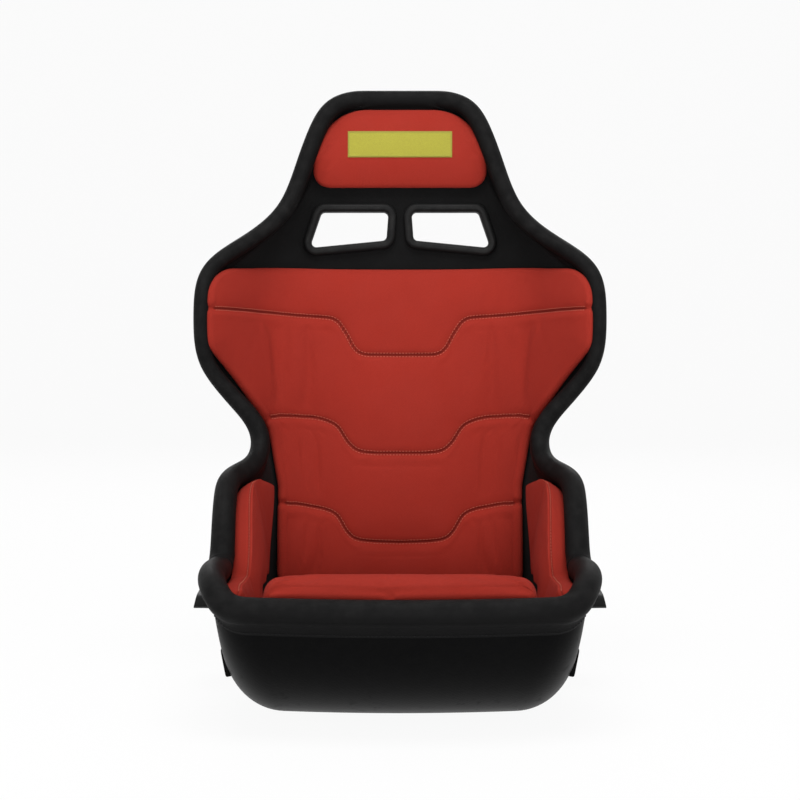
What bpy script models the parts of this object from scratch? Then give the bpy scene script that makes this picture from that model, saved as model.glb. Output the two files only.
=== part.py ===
"""Fixed-back racing bucket seat.

A composite tub carries a padded lining, a rolled edge trim in two pieces, loose pads held by hook
strips, moulded bezels in the harness slots, and four side bosses with threaded inserts.

Frame: +Z up, the sitter faces -Y, +X is the sitter's left hand. The origin is the centre of the
flat underside. All sizes are in millimetres and are turned into metres when a mesh is made.

Every piece is placed on one surface, the inner face of the tub. A point of it has a run v, from 0 at
the front lip, along the floor and up the back, to 1 at the top of the head, and a girth s, the
distance from the middle line towards the rim, negative on the right-hand side.
"""

import math

import bmesh
import bpy
import numpy as np

MM = 0.001

# ---- Tub: half widths of the rim, heights of the rim and places of the floor ----
SHELL_WALL = 5.0
THIGH_HALF = 240.0
HIP_HALF = 237.0
WAIST_HALF = 195.0
SHOULDER_HALF = 279.0
TEMPLE_HALF = 135.0
CROWN_HALF = 64.0
LIP_Z = 167.0
THIGH_Z = 192.0
HIP_Z = 295.0
WAIST_Z = 345.0
SHOULDER_Z = 583.0
CROWN_Z = 829.0
LIP_Y = -300.0
FLOOR_FRONT_Y = -84.0
FLOOR_REAR_Y = 102.0
LOIN_Y = 191.0
CROWN_Y = 265.0
SHOULDER_WING = 142.0
FLOOR_HALF = 204.0
TUB_CORNER = 70.0
APRON_BOW = 26.0

# ---- Edge trim ----
LIP_ROLL = 17.5
HIP_ROLL = 15.5
SHOULDER_ROLL = 11.0
CROWN_ROLL = 13.5
EDGE_MARGIN = 0.6
SEAT_GAP = 0.35
TRIM_JOINT_Y = -92.0

# ---- Lining and hook strips ----
LINING = 3.0
LINING_GAP = 0.4
STRIP = 1.8
STRIP_GAP = 0.45
STRIP_WIDTH = 38.0

# ---- Pads ----
PAD_MARGIN = 1.5
BACK_PAD = 22.0
BACK_PAD_BOTTOM_Z = 100.0
BACK_PAD_TOP_Z = 584.0
BACK_PAD_CORNER = 34.0
BACK_PAD_LOW_HALF = 177.0
BACK_PAD_WAIST_HALF = 194.0
BACK_PAD_TOP_HALF = 276.0
HEAD_PAD = 24.0
HEAD_PAD_BOTTOM_Z = 699.0
HEAD_PAD_TOP_Z = 813.0
HEAD_PAD_HALF = 128.0
HEAD_PAD_CORNER = 24.0
PAD_ROUND = 12.0
PAD_SIDE = 9.0
PATCH_HALF = 76.0
PATCH_BOTTOM_Z = 744.0
PATCH_TOP_Z = 782.0
PATCH = 1.2
BOLSTER = 30.0
BOLSTER_REAR = 11.0
BOLSTER_FRONT_Y = -232.0
BOLSTER_REAR_Y = 112.0
BOLSTER_BOTTOM_Z = 66.0
BOLSTER_HIP_Z = 291.0
BOLSTER_REAR_Z = 262.0
BOLSTER_ROUND = 6.0
CUSHION_HALF = 173.0
CUSHION_CREST_Z = 205.0
CUSHION_CREST_Y = -222.0
CUSHION_REAR_Z = 82.0
CUSHION_REAR_Y = 142.0
CUSHION_ROUND = 26.0
CUSHION_SIDE_ROUND = 16.0

# ---- Harness slots: clear openings ----
SHOULDER_SLOT_INNER = 17.0
SHOULDER_SLOT_TOP_OUTER = 115.0
SHOULDER_SLOT_LOW_OUTER = 133.0
SHOULDER_SLOT_TOP_Z = 664.0
SHOULDER_SLOT_INNER_Z = 623.0
SHOULDER_SLOT_OUTER_Z = 612.0
SHOULDER_SLOT_CORNER = 7.0
LAP_SLOT_Y = 46.0
LAP_SLOT_Z = 113.0
LAP_SLOT_LONG = 80.0
LAP_SLOT_HIGH = 32.0
LAP_SLOT_CORNER = 9.0
LAP_GUIDE_REACH = 283.0
GUIDE_WALL = 3.5
CROTCH_SLOT_Y = -78.0
CROTCH_SLOT_WIDE = 92.0
CROTCH_SLOT_LONG = 30.0
CROTCH_SLOT_CORNER = 8.0
COLLAR = 2.6
HOLE_PLAY = 0.4
BEZEL_GAP = 0.9
FLANGE = 13.0
BEAD = 7.0
REAR_FLANGE = 4.0

# ---- Side mounting ----
BOSS_FRONT_Y = -150.0
BOSS_SPACING = 270.0
BOSS_Z = 80.0
BOSS_SIZE = 34.0
BOSS_HEIGHT = 2.6
INSERT_RADIUS = 7.0
INSERT_BORE = 3.4
INSERT_FLANGE = 10.5
INSERT_FLANGE_THICK = 1.6
INSERT_PLAY = 0.4

# ---- Fineness of the meshes: how far a flat facet may stand off the curve, and its length ----
ROW_SAG = 1.3
ROW_REACH = 95.0
EDGE_SAG = 1.3
EDGE_REACH = 90.0
ROLL_SIDES = 12
STEP = 1e-4


def mix(low, high, share):
    """The value that lies this share of the way from low to high."""
    return low + share * (high - low)


def station_rows():
    """Control rows of the tub, front to top: middle y, z; rim x, y, z; floor half, corner, bow."""
    lip, floor, corner, bow = LIP_Y, FLOOR_HALF, TUB_CORNER, APRON_BOW
    front = FLOOR_FRONT_Y
    rear = FLOOR_REAR_Y
    wall = SHELL_WALL
    apron = [
        (lip, LIP_Z, THIGH_HALF - 12, lip + 13, LIP_Z + 16, floor + 14, corner - 26, bow),
        (lip + 5, LIP_Z * 0.84, THIGH_HALF - 2, lip + 34, THIGH_Z + 4, floor + 16, corner - 20, bow + 2),
        (lip + 22, LIP_Z * 0.60, THIGH_HALF, lip + 70, THIGH_Z + 8, floor + 15, corner - 14, bow + 2),
        (lip + 58, LIP_Z * 0.35, THIGH_HALF, lip + 114, THIGH_Z + 5, floor + 13, corner - 8, bow + 2),
        (front - 108, wall + 21, THIGH_HALF, front - 64, THIGH_Z, floor + 10, corner - 4, bow + 2),
        (front - 52, wall + 4, THIGH_HALF - 1, front - 30, THIGH_Z - 2, floor + 7, corner - 2, bow),
    ]
    hip = HIP_Z - THIGH_Z
    base = [
        (front, wall, HIP_HALF + 1, front - 5, THIGH_Z + 4, floor + 3, corner, bow * 0.6),
        (mix(front, rear, 0.25), wall, HIP_HALF, front + 12, THIGH_Z + 0.21 * hip, floor - 1, corner, bow * 0.2),
        (mix(front, rear, 0.50), wall, HIP_HALF, front + 27, THIGH_Z + 0.45 * hip, floor - 5, corner - 2, 0),
        (mix(front, rear, 0.76), wall, HIP_HALF, front + 46, THIGH_Z + 0.68 * hip, floor - 8, corner - 4, 0),
        (rear, wall, HIP_HALF, front + 68, THIGH_Z + 0.87 * hip, floor - 11, corner - 6, 0),
        (rear + 41, wall + 10, HIP_HALF - 1, front + 90, HIP_Z, floor - 14, corner - 6, 0),
    ]
    notch = HIP_HALF - WAIST_HALF
    loin = [
        (LOIN_Y - 19, wall + 45, HIP_HALF - 0.26 * notch, 32, mix(HIP_Z, WAIST_Z, 0.14), floor - 18, corner - 4, 0),
        (LOIN_Y - 7, wall + 99, HIP_HALF - 0.69 * notch, 60, mix(HIP_Z, WAIST_Z, 0.24), floor - 23, corner, 0),
        (LOIN_Y, wall + 155, WAIST_HALF + 2, 88, mix(HIP_Z, WAIST_Z, 0.52), floor - 27, corner + 4, 0),
        (LOIN_Y + 6, wall + 207, WAIST_HALF, 107, WAIST_Z, floor - 29, corner + 10, 0),
    ]
    spread = SHOULDER_HALF - WAIST_HALF
    low = wall + 207
    back = [
        # share of the way up, middle and rim; share of the spread; depth of the wing; corner
        (0.13, 0.11, 0.13, 0.64, 16),
        (0.27, 0.22, 0.42, 0.72, 26),
        (0.40, 0.33, 0.69, 0.80, 38),
        (0.53, 0.44, 0.92, 0.89, 52),
        (0.66, 0.575, 1.00, 0.96, 62),
        (0.80, 0.725, 1.00, 1.00, 64),
        (0.91, 0.875, 1.00, 0.99, 60),
        (1.00, 1.000, 0.91, 0.93, 52),
    ]
    lean = (CROWN_Y - LOIN_Y) / (CROWN_Z - low)
    upper = []
    for middle, rim, wide, wing, radius in back:
        z = mix(low, SHOULDER_Z + 2, middle)
        y = LOIN_Y + 6 + 1.16 * lean * (z - low)
        upper.append(
            (
                y,
                z,
                WAIST_HALF + wide * spread,
                y - wing * SHOULDER_WING,
                mix(WAIST_Z, SHOULDER_Z, rim),
                mix(floor - 29, floor - 16, middle),
                corner + radius,
                0,
            )
        )
    temple = SHOULDER_HALF - TEMPLE_HALF
    head = [
        # share of the way up, middle and rim; half width; depth of the wing; floor half; corner
        (0.126, 0.09, TEMPLE_HALF + 0.76 * temple, 0.75, 188, 84),
        (0.240, 0.19, TEMPLE_HALF + 0.47 * temple, 0.51, 174, 52),
        (0.360, 0.325, TEMPLE_HALF + 0.215 * temple, 0.35, 153, 36),
        (0.500, 0.49, TEMPLE_HALF + 0.09 * temple, 0.27, 131, 30),
        (0.655, 0.66, TEMPLE_HALF, 0.23, 114, 36),
        (0.790, 0.81, TEMPLE_HALF - 14, 0.19, 102, 30),
        (0.905, 0.92, TEMPLE_HALF - 27, 0.145, 90, 24),
        (0.970, 0.98, CROWN_HALF + 26, 0.085, 76, 18),
        (1.000, 1.00, CROWN_HALF, 0.035, 56, 12),
    ]
    for middle, rim, half, wing, width, radius in head:
        y = CROWN_Y - 18 * (1 - middle) ** 1.2
        upper.append(
            (
                y,
                mix(SHOULDER_Z, CROWN_Z, middle),
                half,
                y - wing * SHOULDER_WING,
                mix(SHOULDER_Z, CROWN_Z, rim),
                width,
                radius,
                0,
            )
        )
    return np.array(apron + base + loin + upper, float)


def spline(rows, v):
    """Uniform cubic B-spline through control rows, with the end rows met exactly."""
    rows = np.vstack([2 * rows[0] - rows[1], rows, 2 * rows[-1] - rows[-2]])
    spans = len(rows) - 3
    x = np.clip(np.asarray(v, float), 0, 1) * spans
    k = np.minimum(x.astype(int), spans - 1)
    t = (x - k)[..., None]
    a, b, c, d = rows[k], rows[k + 1], rows[k + 2], rows[k + 3]
    return (
        (1 - t) ** 3 * a
        + (3 * t**3 - 6 * t**2 + 4) * b
        + (-3 * t**3 + 3 * t**2 + 3 * t + 1) * c
        + t**3 * d
    ) / 6


ROWS = station_rows()


def section(v):
    """The cross-section at v: its control values, flat half, end of its corner arc and girth."""
    sy, sz, rx, ry, rz, floor, radius, bow = np.moveaxis(spline(ROWS, v), -1, 0)
    depth = np.hypot(ry - sy, rz - sz)
    turn = np.arctan2(depth, rx - floor)
    wall = np.hypot(depth, rx - floor)
    cut = np.minimum(radius * np.tan(turn / 2), 0.92 * np.minimum(floor, wall))
    radius = cut / np.tan(turn / 2)
    flat = floor - cut
    bend = flat + radius * turn
    return sy, sz, (ry - sy) / depth, (rz - sz) / depth, floor, radius, bow, turn, cut, flat, bend, bend + wall - cut


def girth(v):
    return section(v)[-1]


def surface(v, s):
    """Points of the tub's inner face: a flat middle, a round corner, then a straight wall."""
    v, s = np.broadcast_arrays(np.asarray(v, float), np.asarray(s, float))
    sy, sz, ny, nz, floor, radius, bow, turn, cut, flat, bend, _ = section(v)
    side = np.abs(s)
    beyond = cut + side - bend
    arc = (side - flat) / radius
    x = np.where(side < flat, side, np.where(side < bend, flat + radius * np.sin(arc), floor + beyond * np.cos(turn)))
    up = np.where(side < flat, 0, np.where(side < bend, radius * (1 - np.cos(arc)), beyond * np.sin(turn)))
    y = sy + up * ny + bow * np.minimum(x / floor, 1) ** 2
    return np.stack([np.copysign(x, s), y, sz + up * nz], -1)


def normal(v, s):
    """The direction that points into the seat."""
    v, s = np.broadcast_arrays(np.asarray(v, float), np.asarray(s, float))
    along = surface(v + STEP, s) - surface(v - STEP, s)
    across = surface(v, s + 0.05) - surface(v, s - 0.05)
    n = np.cross(across, along)
    return n / np.linalg.norm(n, axis=-1, keepdims=True)


def lifted(v, s, height):
    """Points this far above the inner face, towards the sitter."""
    return surface(v, s) + np.asarray(height, float)[..., None] * normal(v, s)


DENSE = np.linspace(0, 1, 801)
MIDDLE = surface(DENSE, 0 * DENSE)
RUN = np.concatenate([[0], np.cumsum(np.linalg.norm(np.diff(MIDDLE, axis=0), axis=1))])
RIM = surface(DENSE, girth(DENSE))
HALFWAY = int(np.argmin(MIDDLE[:, 2] + np.abs(MIDDLE[:, 1] - FLOOR_REAR_Y)))
WAIST_INDEX = int(np.argmax(np.where(RIM[:, 2] < WAIST_Z + 5, RIM[:, 1], -1e9)))


def v_of_run(run):
    return np.interp(run, RUN, DENSE)


def run_of_v(v):
    return np.interp(v, DENSE, RUN)


def v_of_height(z):
    return np.interp(z, MIDDLE[HALFWAY:, 2], DENSE[HALFWAY:])


def v_of_depth(y):
    return np.interp(y, MIDDLE[: HALFWAY + 40, 1], DENSE[: HALFWAY + 40])


def rim_height(y):
    """Height of the rim over a place on the side, from the lip to the waist."""
    return np.interp(y, RIM[:WAIST_INDEX, 1], RIM[:WAIST_INDEX, 2])


def settle(axes, first, second, v, s):
    """v and s where two coordinates of the surface have the wanted values, by Newton's steps."""
    for _ in range(12):
        here = surface(v, s)[..., axes]
        by_v = (surface(v + STEP, s)[..., axes] - surface(v - STEP, s)[..., axes]) / (2 * STEP)
        by_s = surface(v, s + 0.5)[..., axes] - surface(v, s - 0.5)[..., axes]
        miss_a, miss_b = first - here[..., 0], second - here[..., 1]
        area = by_v[..., 0] * by_s[..., 1] - by_v[..., 1] * by_s[..., 0]
        area = np.where(np.abs(area) < 1e-6, 1e-6, area)
        move_v = (miss_a * by_s[..., 1] - miss_b * by_s[..., 0]) / area
        move_s = (by_v[..., 0] * miss_b - by_v[..., 1] * miss_a) / area
        v = np.clip(v + np.clip(move_v, -0.02, 0.02), 0, 1)
        s = s + np.clip(move_s, -30, 30)
    return v, s


def from_front(x, z, height):
    """A point that is seen at x, z from the front, on the back of the seat."""
    x, z = np.broadcast_arrays(np.asarray(x, float), np.asarray(z, float))
    v, s = settle([0, 2], np.abs(x), z, v_of_height(z), np.abs(x))
    return lifted(v, np.copysign(s, x), height + 0 * x)


def from_above(x, y, height):
    """A point that is seen at x, y from above, on the floor of the seat."""
    x, y = np.broadcast_arrays(np.asarray(x, float), np.asarray(y, float))
    v, s = settle([0, 1], np.abs(x), y, v_of_depth(y), np.abs(x))
    return lifted(v, np.copysign(s, x), height + 0 * x)


WALL_V, WALL_SHARE = np.meshgrid(np.linspace(0, 0.56, 141), np.linspace(0.45, 1, 45), indexing="ij")
WALL_S = WALL_SHARE * girth(WALL_V)
WALL_POINTS = surface(WALL_V, WALL_S)


def from_side(y, z, height):
    """A point that is seen at y, z from the side, on the left-hand wall of the seat."""
    y, z = np.broadcast_arrays(np.asarray(y, float), np.asarray(z, float))
    flat_y, flat_z = y.reshape(-1, 1), z.reshape(-1, 1)
    away = (WALL_POINTS[..., 1].ravel() - flat_y) ** 2 + (WALL_POINTS[..., 2].ravel() - flat_z) ** 2
    away += 0.02 * (THIGH_HALF - WALL_POINTS[..., 0].ravel()) ** 2
    near = np.argmin(away, axis=1)
    v = WALL_V.ravel()[near].reshape(y.shape)
    s = WALL_S.ravel()[near].reshape(y.shape)
    v, s = settle([1, 2], y, z, v, s)
    return lifted(v, s, height + 0 * y)


def roll_radius(v):
    """Radius of the edge trim, from the lip to the top of the head."""
    return np.interp(
        v,
        [0, 0.12, 0.24, 0.34, 0.46, 0.58, 0.72, 0.84, 1],
        [
            LIP_ROLL,
            LIP_ROLL,
            mix(LIP_ROLL, HIP_ROLL, 0.6),
            HIP_ROLL,
            mix(HIP_ROLL, SHOULDER_ROLL, 0.4),
            SHOULDER_ROLL,
            SHOULDER_ROLL,
            mix(SHOULDER_ROLL, CROWN_ROLL, 0.6),
            CROWN_ROLL,
        ],
    )


def spaced(turns, lengths, sag, reach):
    """How many rows lie before each step of a dense row, for facets that stay this near the curve."""
    bend = turns / np.maximum(lengths, 1e-9)
    return np.concatenate([[0], np.cumsum(lengths * (np.sqrt(bend / (8 * sag)) + 1 / reach))])


def edge_path():
    """The tub's edge on the left, from the middle of the lip, up the rim, to the middle of the top."""
    share = np.linspace(0, 1, 160)
    lip, crown = girth(0.0), girth(1.0)
    v = np.concatenate([0 * share[:-1], DENSE, 1 + 0 * share[1:]])
    s = np.concatenate([share[:-1] * lip, girth(DENSE), (1 - share[1:]) * crown])
    points = surface(v, s)
    points[[0, -1], 0] = 0
    steps = np.diff(points, axis=0)
    lengths = np.linalg.norm(steps, axis=1)
    steps /= lengths[:, None]
    turns = np.arccos(np.clip((steps[1:] * steps[:-1]).sum(1), -1, 1))
    progress = spaced(np.append(turns, turns[-1]), lengths, EDGE_SAG, EDGE_REACH)
    count = math.ceil(progress[-1])
    wanted = np.linspace(0, progress[-1], count + 1)
    points = np.stack([np.interp(wanted, progress, points[:, k]) for k in range(3)], -1)
    v = np.interp(wanted, progress, v)
    mirror = points * np.array([-1, 1, 1])
    around = np.vstack([mirror[1], points, mirror[-2]])
    ahead, behind = around[2:] - points, points - around[:-2]
    along = ahead / np.linalg.norm(ahead, axis=1, keepdims=True)
    along = along + behind / np.linalg.norm(behind, axis=1, keepdims=True)
    along /= np.linalg.norm(along, axis=1, keepdims=True)
    return points, along, roll_radius(v)


EDGE, EDGE_ALONG, EDGE_RADIUS = edge_path()
FINE = np.linspace(0, len(EDGE) - 1, 8 * len(EDGE))
FINE_EDGE = np.stack([np.interp(FINE, np.arange(len(EDGE)), EDGE[:, k]) for k in range(3)], -1)
FINE_RADIUS = np.interp(FINE, np.arange(len(EDGE)), EDGE_RADIUS)


def trim_clearance(points):
    """Distance of points from the surface of the edge trim."""
    away = np.linalg.norm(points[..., None, :] - FINE_EDGE, axis=-1) - FINE_RADIUS
    return away.min(-1)


def clear_girth(v, margin):
    """The largest s in each row of v that stays this far from the edge trim, also between rows."""
    v = np.asarray(v, float)
    share = np.linspace(0, 1, 160)
    s = np.maximum(girth(v) - 110, 0)[:, None] * (1 - share) + girth(v)[:, None] * share
    clear = trim_clearance(surface(v[:, None], s)) > margin
    blocked = np.where(clear.all(1), 159, np.maximum(np.argmin(clear, axis=1) - 1, 0))
    edge = np.take_along_axis(s, blocked[:, None], 1)[:, 0]
    between = np.array([0.0, 0.25, 0.5, 0.75, 1.0])[None, :, None]
    for _ in range(40):
        close = np.zeros(len(v) - 1, bool)
        for height in (0.0, LINING_GAP + LINING):
            points = lifted(v, edge, height + 0 * v)
            chord = points[:-1, None] * (1 - between) + points[1:, None] * between
            close |= trim_clearance(chord).min(1) < 0.6 * margin
        edge = edge - 1.0 * (np.append(close, False) | np.insert(close, 0, False))
    return edge


# ---- Scene and meshes ----


def clear_scene():
    for thing in list(bpy.data.objects):
        bpy.data.objects.remove(thing, do_unlink=True)


def new_collection(name, drawn):
    collection = bpy.data.collections.new(name)
    collection.hide_render = not drawn
    bpy.context.scene.collection.children.link(collection)
    return collection


def finish_material(name, colour, roughness, metallic=0.0):
    material = bpy.data.materials.new(name)
    material.use_nodes = True
    shader = material.node_tree.nodes["Principled BSDF"]
    shader.inputs["Base Color"].default_value = (*colour, 1)
    shader.inputs["Roughness"].default_value = roughness
    shader.inputs["Metallic"].default_value = metallic
    return material


def solid_object(name, points, faces, material=None, outward=True):
    """A mesh object from points in millimetres, with its faces turned outwards."""
    mesh = bpy.data.meshes.new(name)
    mesh.from_pydata([tuple(p) for p in np.asarray(points, float).reshape(-1, 3) * MM], [], faces)
    if outward:
        work = bmesh.new()
        work.from_mesh(mesh)
        bmesh.ops.recalc_face_normals(work, faces=work.faces)
        work.to_mesh(mesh)
        work.free()
    mesh.shade_smooth()
    mesh.set_sharp_from_angle(angle=math.radians(35))
    thing = bpy.data.objects.new(name, mesh)
    if material:
        mesh.materials.append(material)
        PARTS.objects.link(thing)
    else:
        CUTTERS.objects.link(thing)
        thing.hide_render = True
        thing.display_type = "WIRE"
    return thing


def grid_faces(rows, columns, first=0, flip=False, split=False):
    """Quads over a grid, or triangles with split, all cut along the same diagonal."""
    faces = []
    for i in range(rows - 1):
        for j in range(columns - 1):
            a = first + i * columns + j
            quad = (a, a + 1, a + columns + 1, a + columns)
            halves = [quad[:3], (quad[0], *quad[2:])] if split else [quad]
            faces += [half[::-1] if flip else half for half in halves]
    return faces


def slab(name, lower, upper, material, half=False):
    """The solid between two grids of the same size. With half, the side on the middle plane is open."""
    rows, columns = lower.shape[:2]
    count = rows * columns
    faces = grid_faces(rows, columns, flip=True) + grid_faces(rows, columns, count)

    def side(p, q):
        faces.append((count + p, p, q, count + q))

    last = columns - 1
    for i in range(rows - 1):
        side(i * columns + last, (i + 1) * columns + last)
        if not half:
            side((i + 1) * columns, i * columns)
    for j in range(last):
        side(j, j + 1)
        side((rows - 1) * columns + j + 1, (rows - 1) * columns + j)
    return solid_object(name, np.concatenate([lower.reshape(-1, 3), upper.reshape(-1, 3)]), faces, material, not half)


def tube(name, loops, material, ring=False):
    """The solid carried by a row of closed loops, with flat ends, or joined end to end in a ring."""
    rows, columns = loops.shape[:2]
    faces = []
    for i in range(rows if ring else rows - 1):
        for j in range(columns):
            a, b = i * columns, (i + 1) % rows * columns
            k = (j + 1) % columns
            faces.append((a + j, a + k, b + k, b + j))
    if not ring:
        faces.append(tuple(range(columns))[::-1])
        faces.append(tuple((rows - 1) * columns + j for j in range(columns)))
    return solid_object(name, loops, faces, material)


def mirrored(points):
    return points * np.array([-1, 1, 1])


def add_mirror(thing):
    mirror = thing.modifiers.new("Mirror", "MIRROR")
    mirror.use_clip = True
    mirror.merge_threshold = 0.0001


def add_solidify(thing, thickness, side):
    solidify = thing.modifiers.new("Solidify", "SOLIDIFY")
    solidify.thickness = thickness * MM
    solidify.offset = side


def cut_away(thing, cutters):
    for cutter in cutters:
        boolean = thing.modifiers.new("Cut_" + cutter.name, "BOOLEAN")
        boolean.operation = "DIFFERENCE"
        boolean.object = cutter


# ---- Tub and lining ----


def run_rows():
    """v of the mesh rows, closer together where the tub bends, and clear of the trim at both ends."""
    start = v_of_run(roll_radius(0) + 3 * EDGE_MARGIN)
    end = v_of_run(RUN[-1] - roll_radius(1) - 3 * EDGE_MARGIN)
    v = np.linspace(start, end, 400)
    lengths = np.diff(run_of_v(v))
    turned = 0 * lengths
    for share in (0.0, 0.45, 0.75, 0.92):
        up = normal(v, share * girth(v))
        turned = np.maximum(turned, np.arccos(np.clip((up[1:] * up[:-1]).sum(1), -1, 1)))
    progress = spaced(turned, lengths, ROW_SAG, ROW_REACH)
    count = math.ceil(progress[-1])
    return np.interp(np.linspace(0, progress[-1], count + 1), progress, v)


def girth_columns(v):
    """s of the mesh columns in each row: flat, corner and wall, up to the edge trim."""
    flat, bend = section(v)[-3:-1]
    edge = clear_girth(v, EDGE_MARGIN)
    flat = np.minimum(flat, 0.6 * edge)
    bend = np.minimum(bend, flat + 0.8 * (edge - flat))
    knots = [0 * v, flat / 2, flat]
    knots += [mix(flat, bend, k / 4) for k in (1, 2, 3, 4)]
    knots += [mix(bend, edge, 0.5), edge]
    return np.stack(knots, -1)


def middle_line(points):
    points[:, 0, 0] = 0
    return points


def build_tub():
    v = run_rows()
    s = girth_columns(v)
    points = middle_line(surface(v[:, None], s))
    shell = solid_object("seat_shell", points, grid_faces(*s.shape, split=True), GELCOAT, False)
    add_mirror(shell)
    add_solidify(shell, SHELL_WALL, -1)
    v, s = v[1:], s[1:]
    points = middle_line(lifted(v[:, None], s, LINING_GAP + 0 * s))
    lining = solid_object("inner_lining", points, grid_faces(*s.shape, split=True), LINING_CLOTH, False)
    add_mirror(lining)
    add_solidify(lining, LINING, 1)
    return shell, lining


# ---- Edge trim ----


def trim(name, first, last, joint_at_start):
    """A padded roll round a stretch of the edge and its mirror image, with flat ends at the joint."""
    points, along, radii = EDGE[first:last], EDGE_ALONG[first:last], EDGE_RADIUS[first:last]
    turn = np.linspace(0, 2 * math.pi, ROLL_SIDES + 1)[:-1, None]
    side = np.cross(along[0], [0, 0, 1])
    loops = []
    for point, direction, radius in zip(points, along, radii):
        side = side - (side @ direction) * direction
        side /= np.linalg.norm(side)
        loops.append(point + radius * (np.cos(turn) * side + np.sin(turn) * np.cross(direction, side)))
    loops = np.array(loops)
    end, sign = (0, 1) if joint_at_start else (-1, -1)
    loops[end] += sign * SEAT_GAP / 2 * along[end]
    if joint_at_start:
        loops = np.concatenate([loops, mirrored(loops)[-2::-1]])
    else:
        loops = np.concatenate([mirrored(loops)[:0:-1], loops])
    return tube(name, loops, TRIM_CLOTH)


def build_trim():
    """Two rolls that meet on each side where the hip rises from the thigh."""
    low = np.where(EDGE[:, 2] < HIP_Z - 20, np.abs(EDGE[:, 1] - TRIM_JOINT_Y), 1e9)
    joint = int(np.argmin(low))
    trim("back_edge_roll", joint, len(EDGE), True)
    trim("thigh_edge_roll", 0, joint + 1, False)


# ---- Pads on the back ----


def corner_runs(low, high, low_radius, high_radius, count):
    """Distances along the run, closer together where a pad's corners are round."""
    bends = 1 - np.cos(np.radians([0, 30, 60, 90]))
    start = low + low_radius * bends
    end = high - high_radius * bends[::-1]
    return np.concatenate([start, np.linspace(start[-1], end[0], count)[1:-1], end])


def corner_loss(run, low, high, low_radius, high_radius):
    """How far a round corner stands back from the pad's side."""
    into_low = np.clip(1 - (run - low) / low_radius, 0, 1)
    into_high = np.clip(1 - (high - run) / high_radius, 0, 1)
    return low_radius * (1 - np.sqrt(1 - into_low**2)) + high_radius * (1 - np.sqrt(1 - into_high**2))


def edge_girth(v, half_at):
    """s where the seat's half width meets a limit that depends on height."""
    share = np.linspace(0, 1, 240)
    s = share * clear_girth(v, PAD_MARGIN)[:, None]
    points = surface(v[:, None], s)
    free = points[..., 0] < half_at(points[..., 2])
    last = np.maximum(free.shape[1] - 1 - np.argmax(free[:, ::-1], axis=1), 1)
    return np.take_along_axis(s, last[:, None], 1)[:, 0]


def back_piece(name, bottom_z, top_z, radii, thickness, half_at, count, splay):
    """A pad on the back, crowned at its border. Splay is how far its sides turn with the wall."""
    base = pad_base()
    low, high = run_of_v(v_of_height(bottom_z)), run_of_v(v_of_height(top_z))
    run = corner_runs(low, high, *radii, count)
    v = v_of_run(run)
    edge = edge_girth(v, half_at) - corner_loss(run, low, high, *radii)
    border = np.array([1.0, 0.35, 0.0]) * PAD_ROUND
    inner = np.linspace(0, 1, 6)[None, :-1] * (edge - PAD_ROUND)[:, None]
    s = np.concatenate([inner, edge[:, None] - border[None]], 1)
    to_side = edge[:, None] - s
    to_end = np.minimum(run - low, high - run)[:, None]
    rise = np.clip(np.minimum(to_side, to_end) / PAD_ROUND, 0, 1)
    crown = PAD_SIDE + (thickness - PAD_SIDE) * np.sqrt(1 - (1 - rise) ** 2)
    lower = middle_line(lifted(v[:, None], s, base + 0 * s))
    upper = middle_line(lower + crown[..., None] * normal(v[:, None], splay * s))
    pad = slab(name, lower, upper, RED_CLOTH, half=True)
    add_mirror(pad)
    return pad


def pad_base():
    """Height of a pad's back over the inner face: lining, hook strip and their gaps."""
    return LINING_GAP + LINING + STRIP_GAP + STRIP + STRIP_GAP


def back_half(z):
    """Half width of the back pad at a height."""
    flare = SHOULDER_Z - WAIST_Z
    heights = [WAIST_Z - 85, WAIST_Z + 0.09 * flare, WAIST_Z + 0.21 * flare, WAIST_Z + 0.33 * flare]
    heights += [WAIST_Z + 0.46 * flare, WAIST_Z + 0.59 * flare]
    spread = BACK_PAD_TOP_HALF - BACK_PAD_WAIST_HALF
    halves = [BACK_PAD_LOW_HALF, BACK_PAD_WAIST_HALF, BACK_PAD_WAIST_HALF + 0.12 * spread]
    halves += [BACK_PAD_WAIST_HALF + 0.32 * spread, BACK_PAD_WAIST_HALF + 0.58 * spread, BACK_PAD_TOP_HALF]
    return np.interp(z, heights, halves)


def head_half(z):
    return HEAD_PAD_HALF + 0 * z


def build_back_pads():
    radii = (16.0, BACK_PAD_CORNER)
    back_piece("back_pad", BACK_PAD_BOTTOM_Z, BACK_PAD_TOP_Z, radii, BACK_PAD, back_half, 14, 1.0)
    radii = (HEAD_PAD_CORNER, HEAD_PAD_CORNER + 4)
    back_piece("head_pad", HEAD_PAD_BOTTOM_Z, HEAD_PAD_TOP_Z, radii, HEAD_PAD, head_half, 5, 0.6)
    x, z = np.meshgrid(np.linspace(-PATCH_HALF, PATCH_HALF, 7), np.linspace(PATCH_BOTTOM_Z, PATCH_TOP_Z, 3))
    face = pad_base() + HEAD_PAD + SEAT_GAP
    slab("head_patch", from_front(x, z, face), from_front(x, z, face + PATCH), PATCH_CLOTH)


# ---- Hook strips ----


def strip(name, place, first, second):
    """A thin fabric strip between the lining and a pad, over a rectangle of a view."""
    a, b = np.meshgrid(first, second)
    low = LINING_GAP + LINING + STRIP_GAP
    return slab(name, place(a, b, low), place(a, b, low + STRIP), HOOK_TAPE)


def strip_mirror(name, source):
    """The same strip on the right-hand side."""
    points = np.array([vertex.co for vertex in source.data.vertices]) / MM
    faces = [tuple(face.vertices) for face in source.data.polygons]
    return solid_object(name, mirrored(points), faces, HOOK_TAPE)


def band(middle, width=STRIP_WIDTH):
    return np.linspace(middle - width / 2, middle + width / 2, 3)


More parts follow.
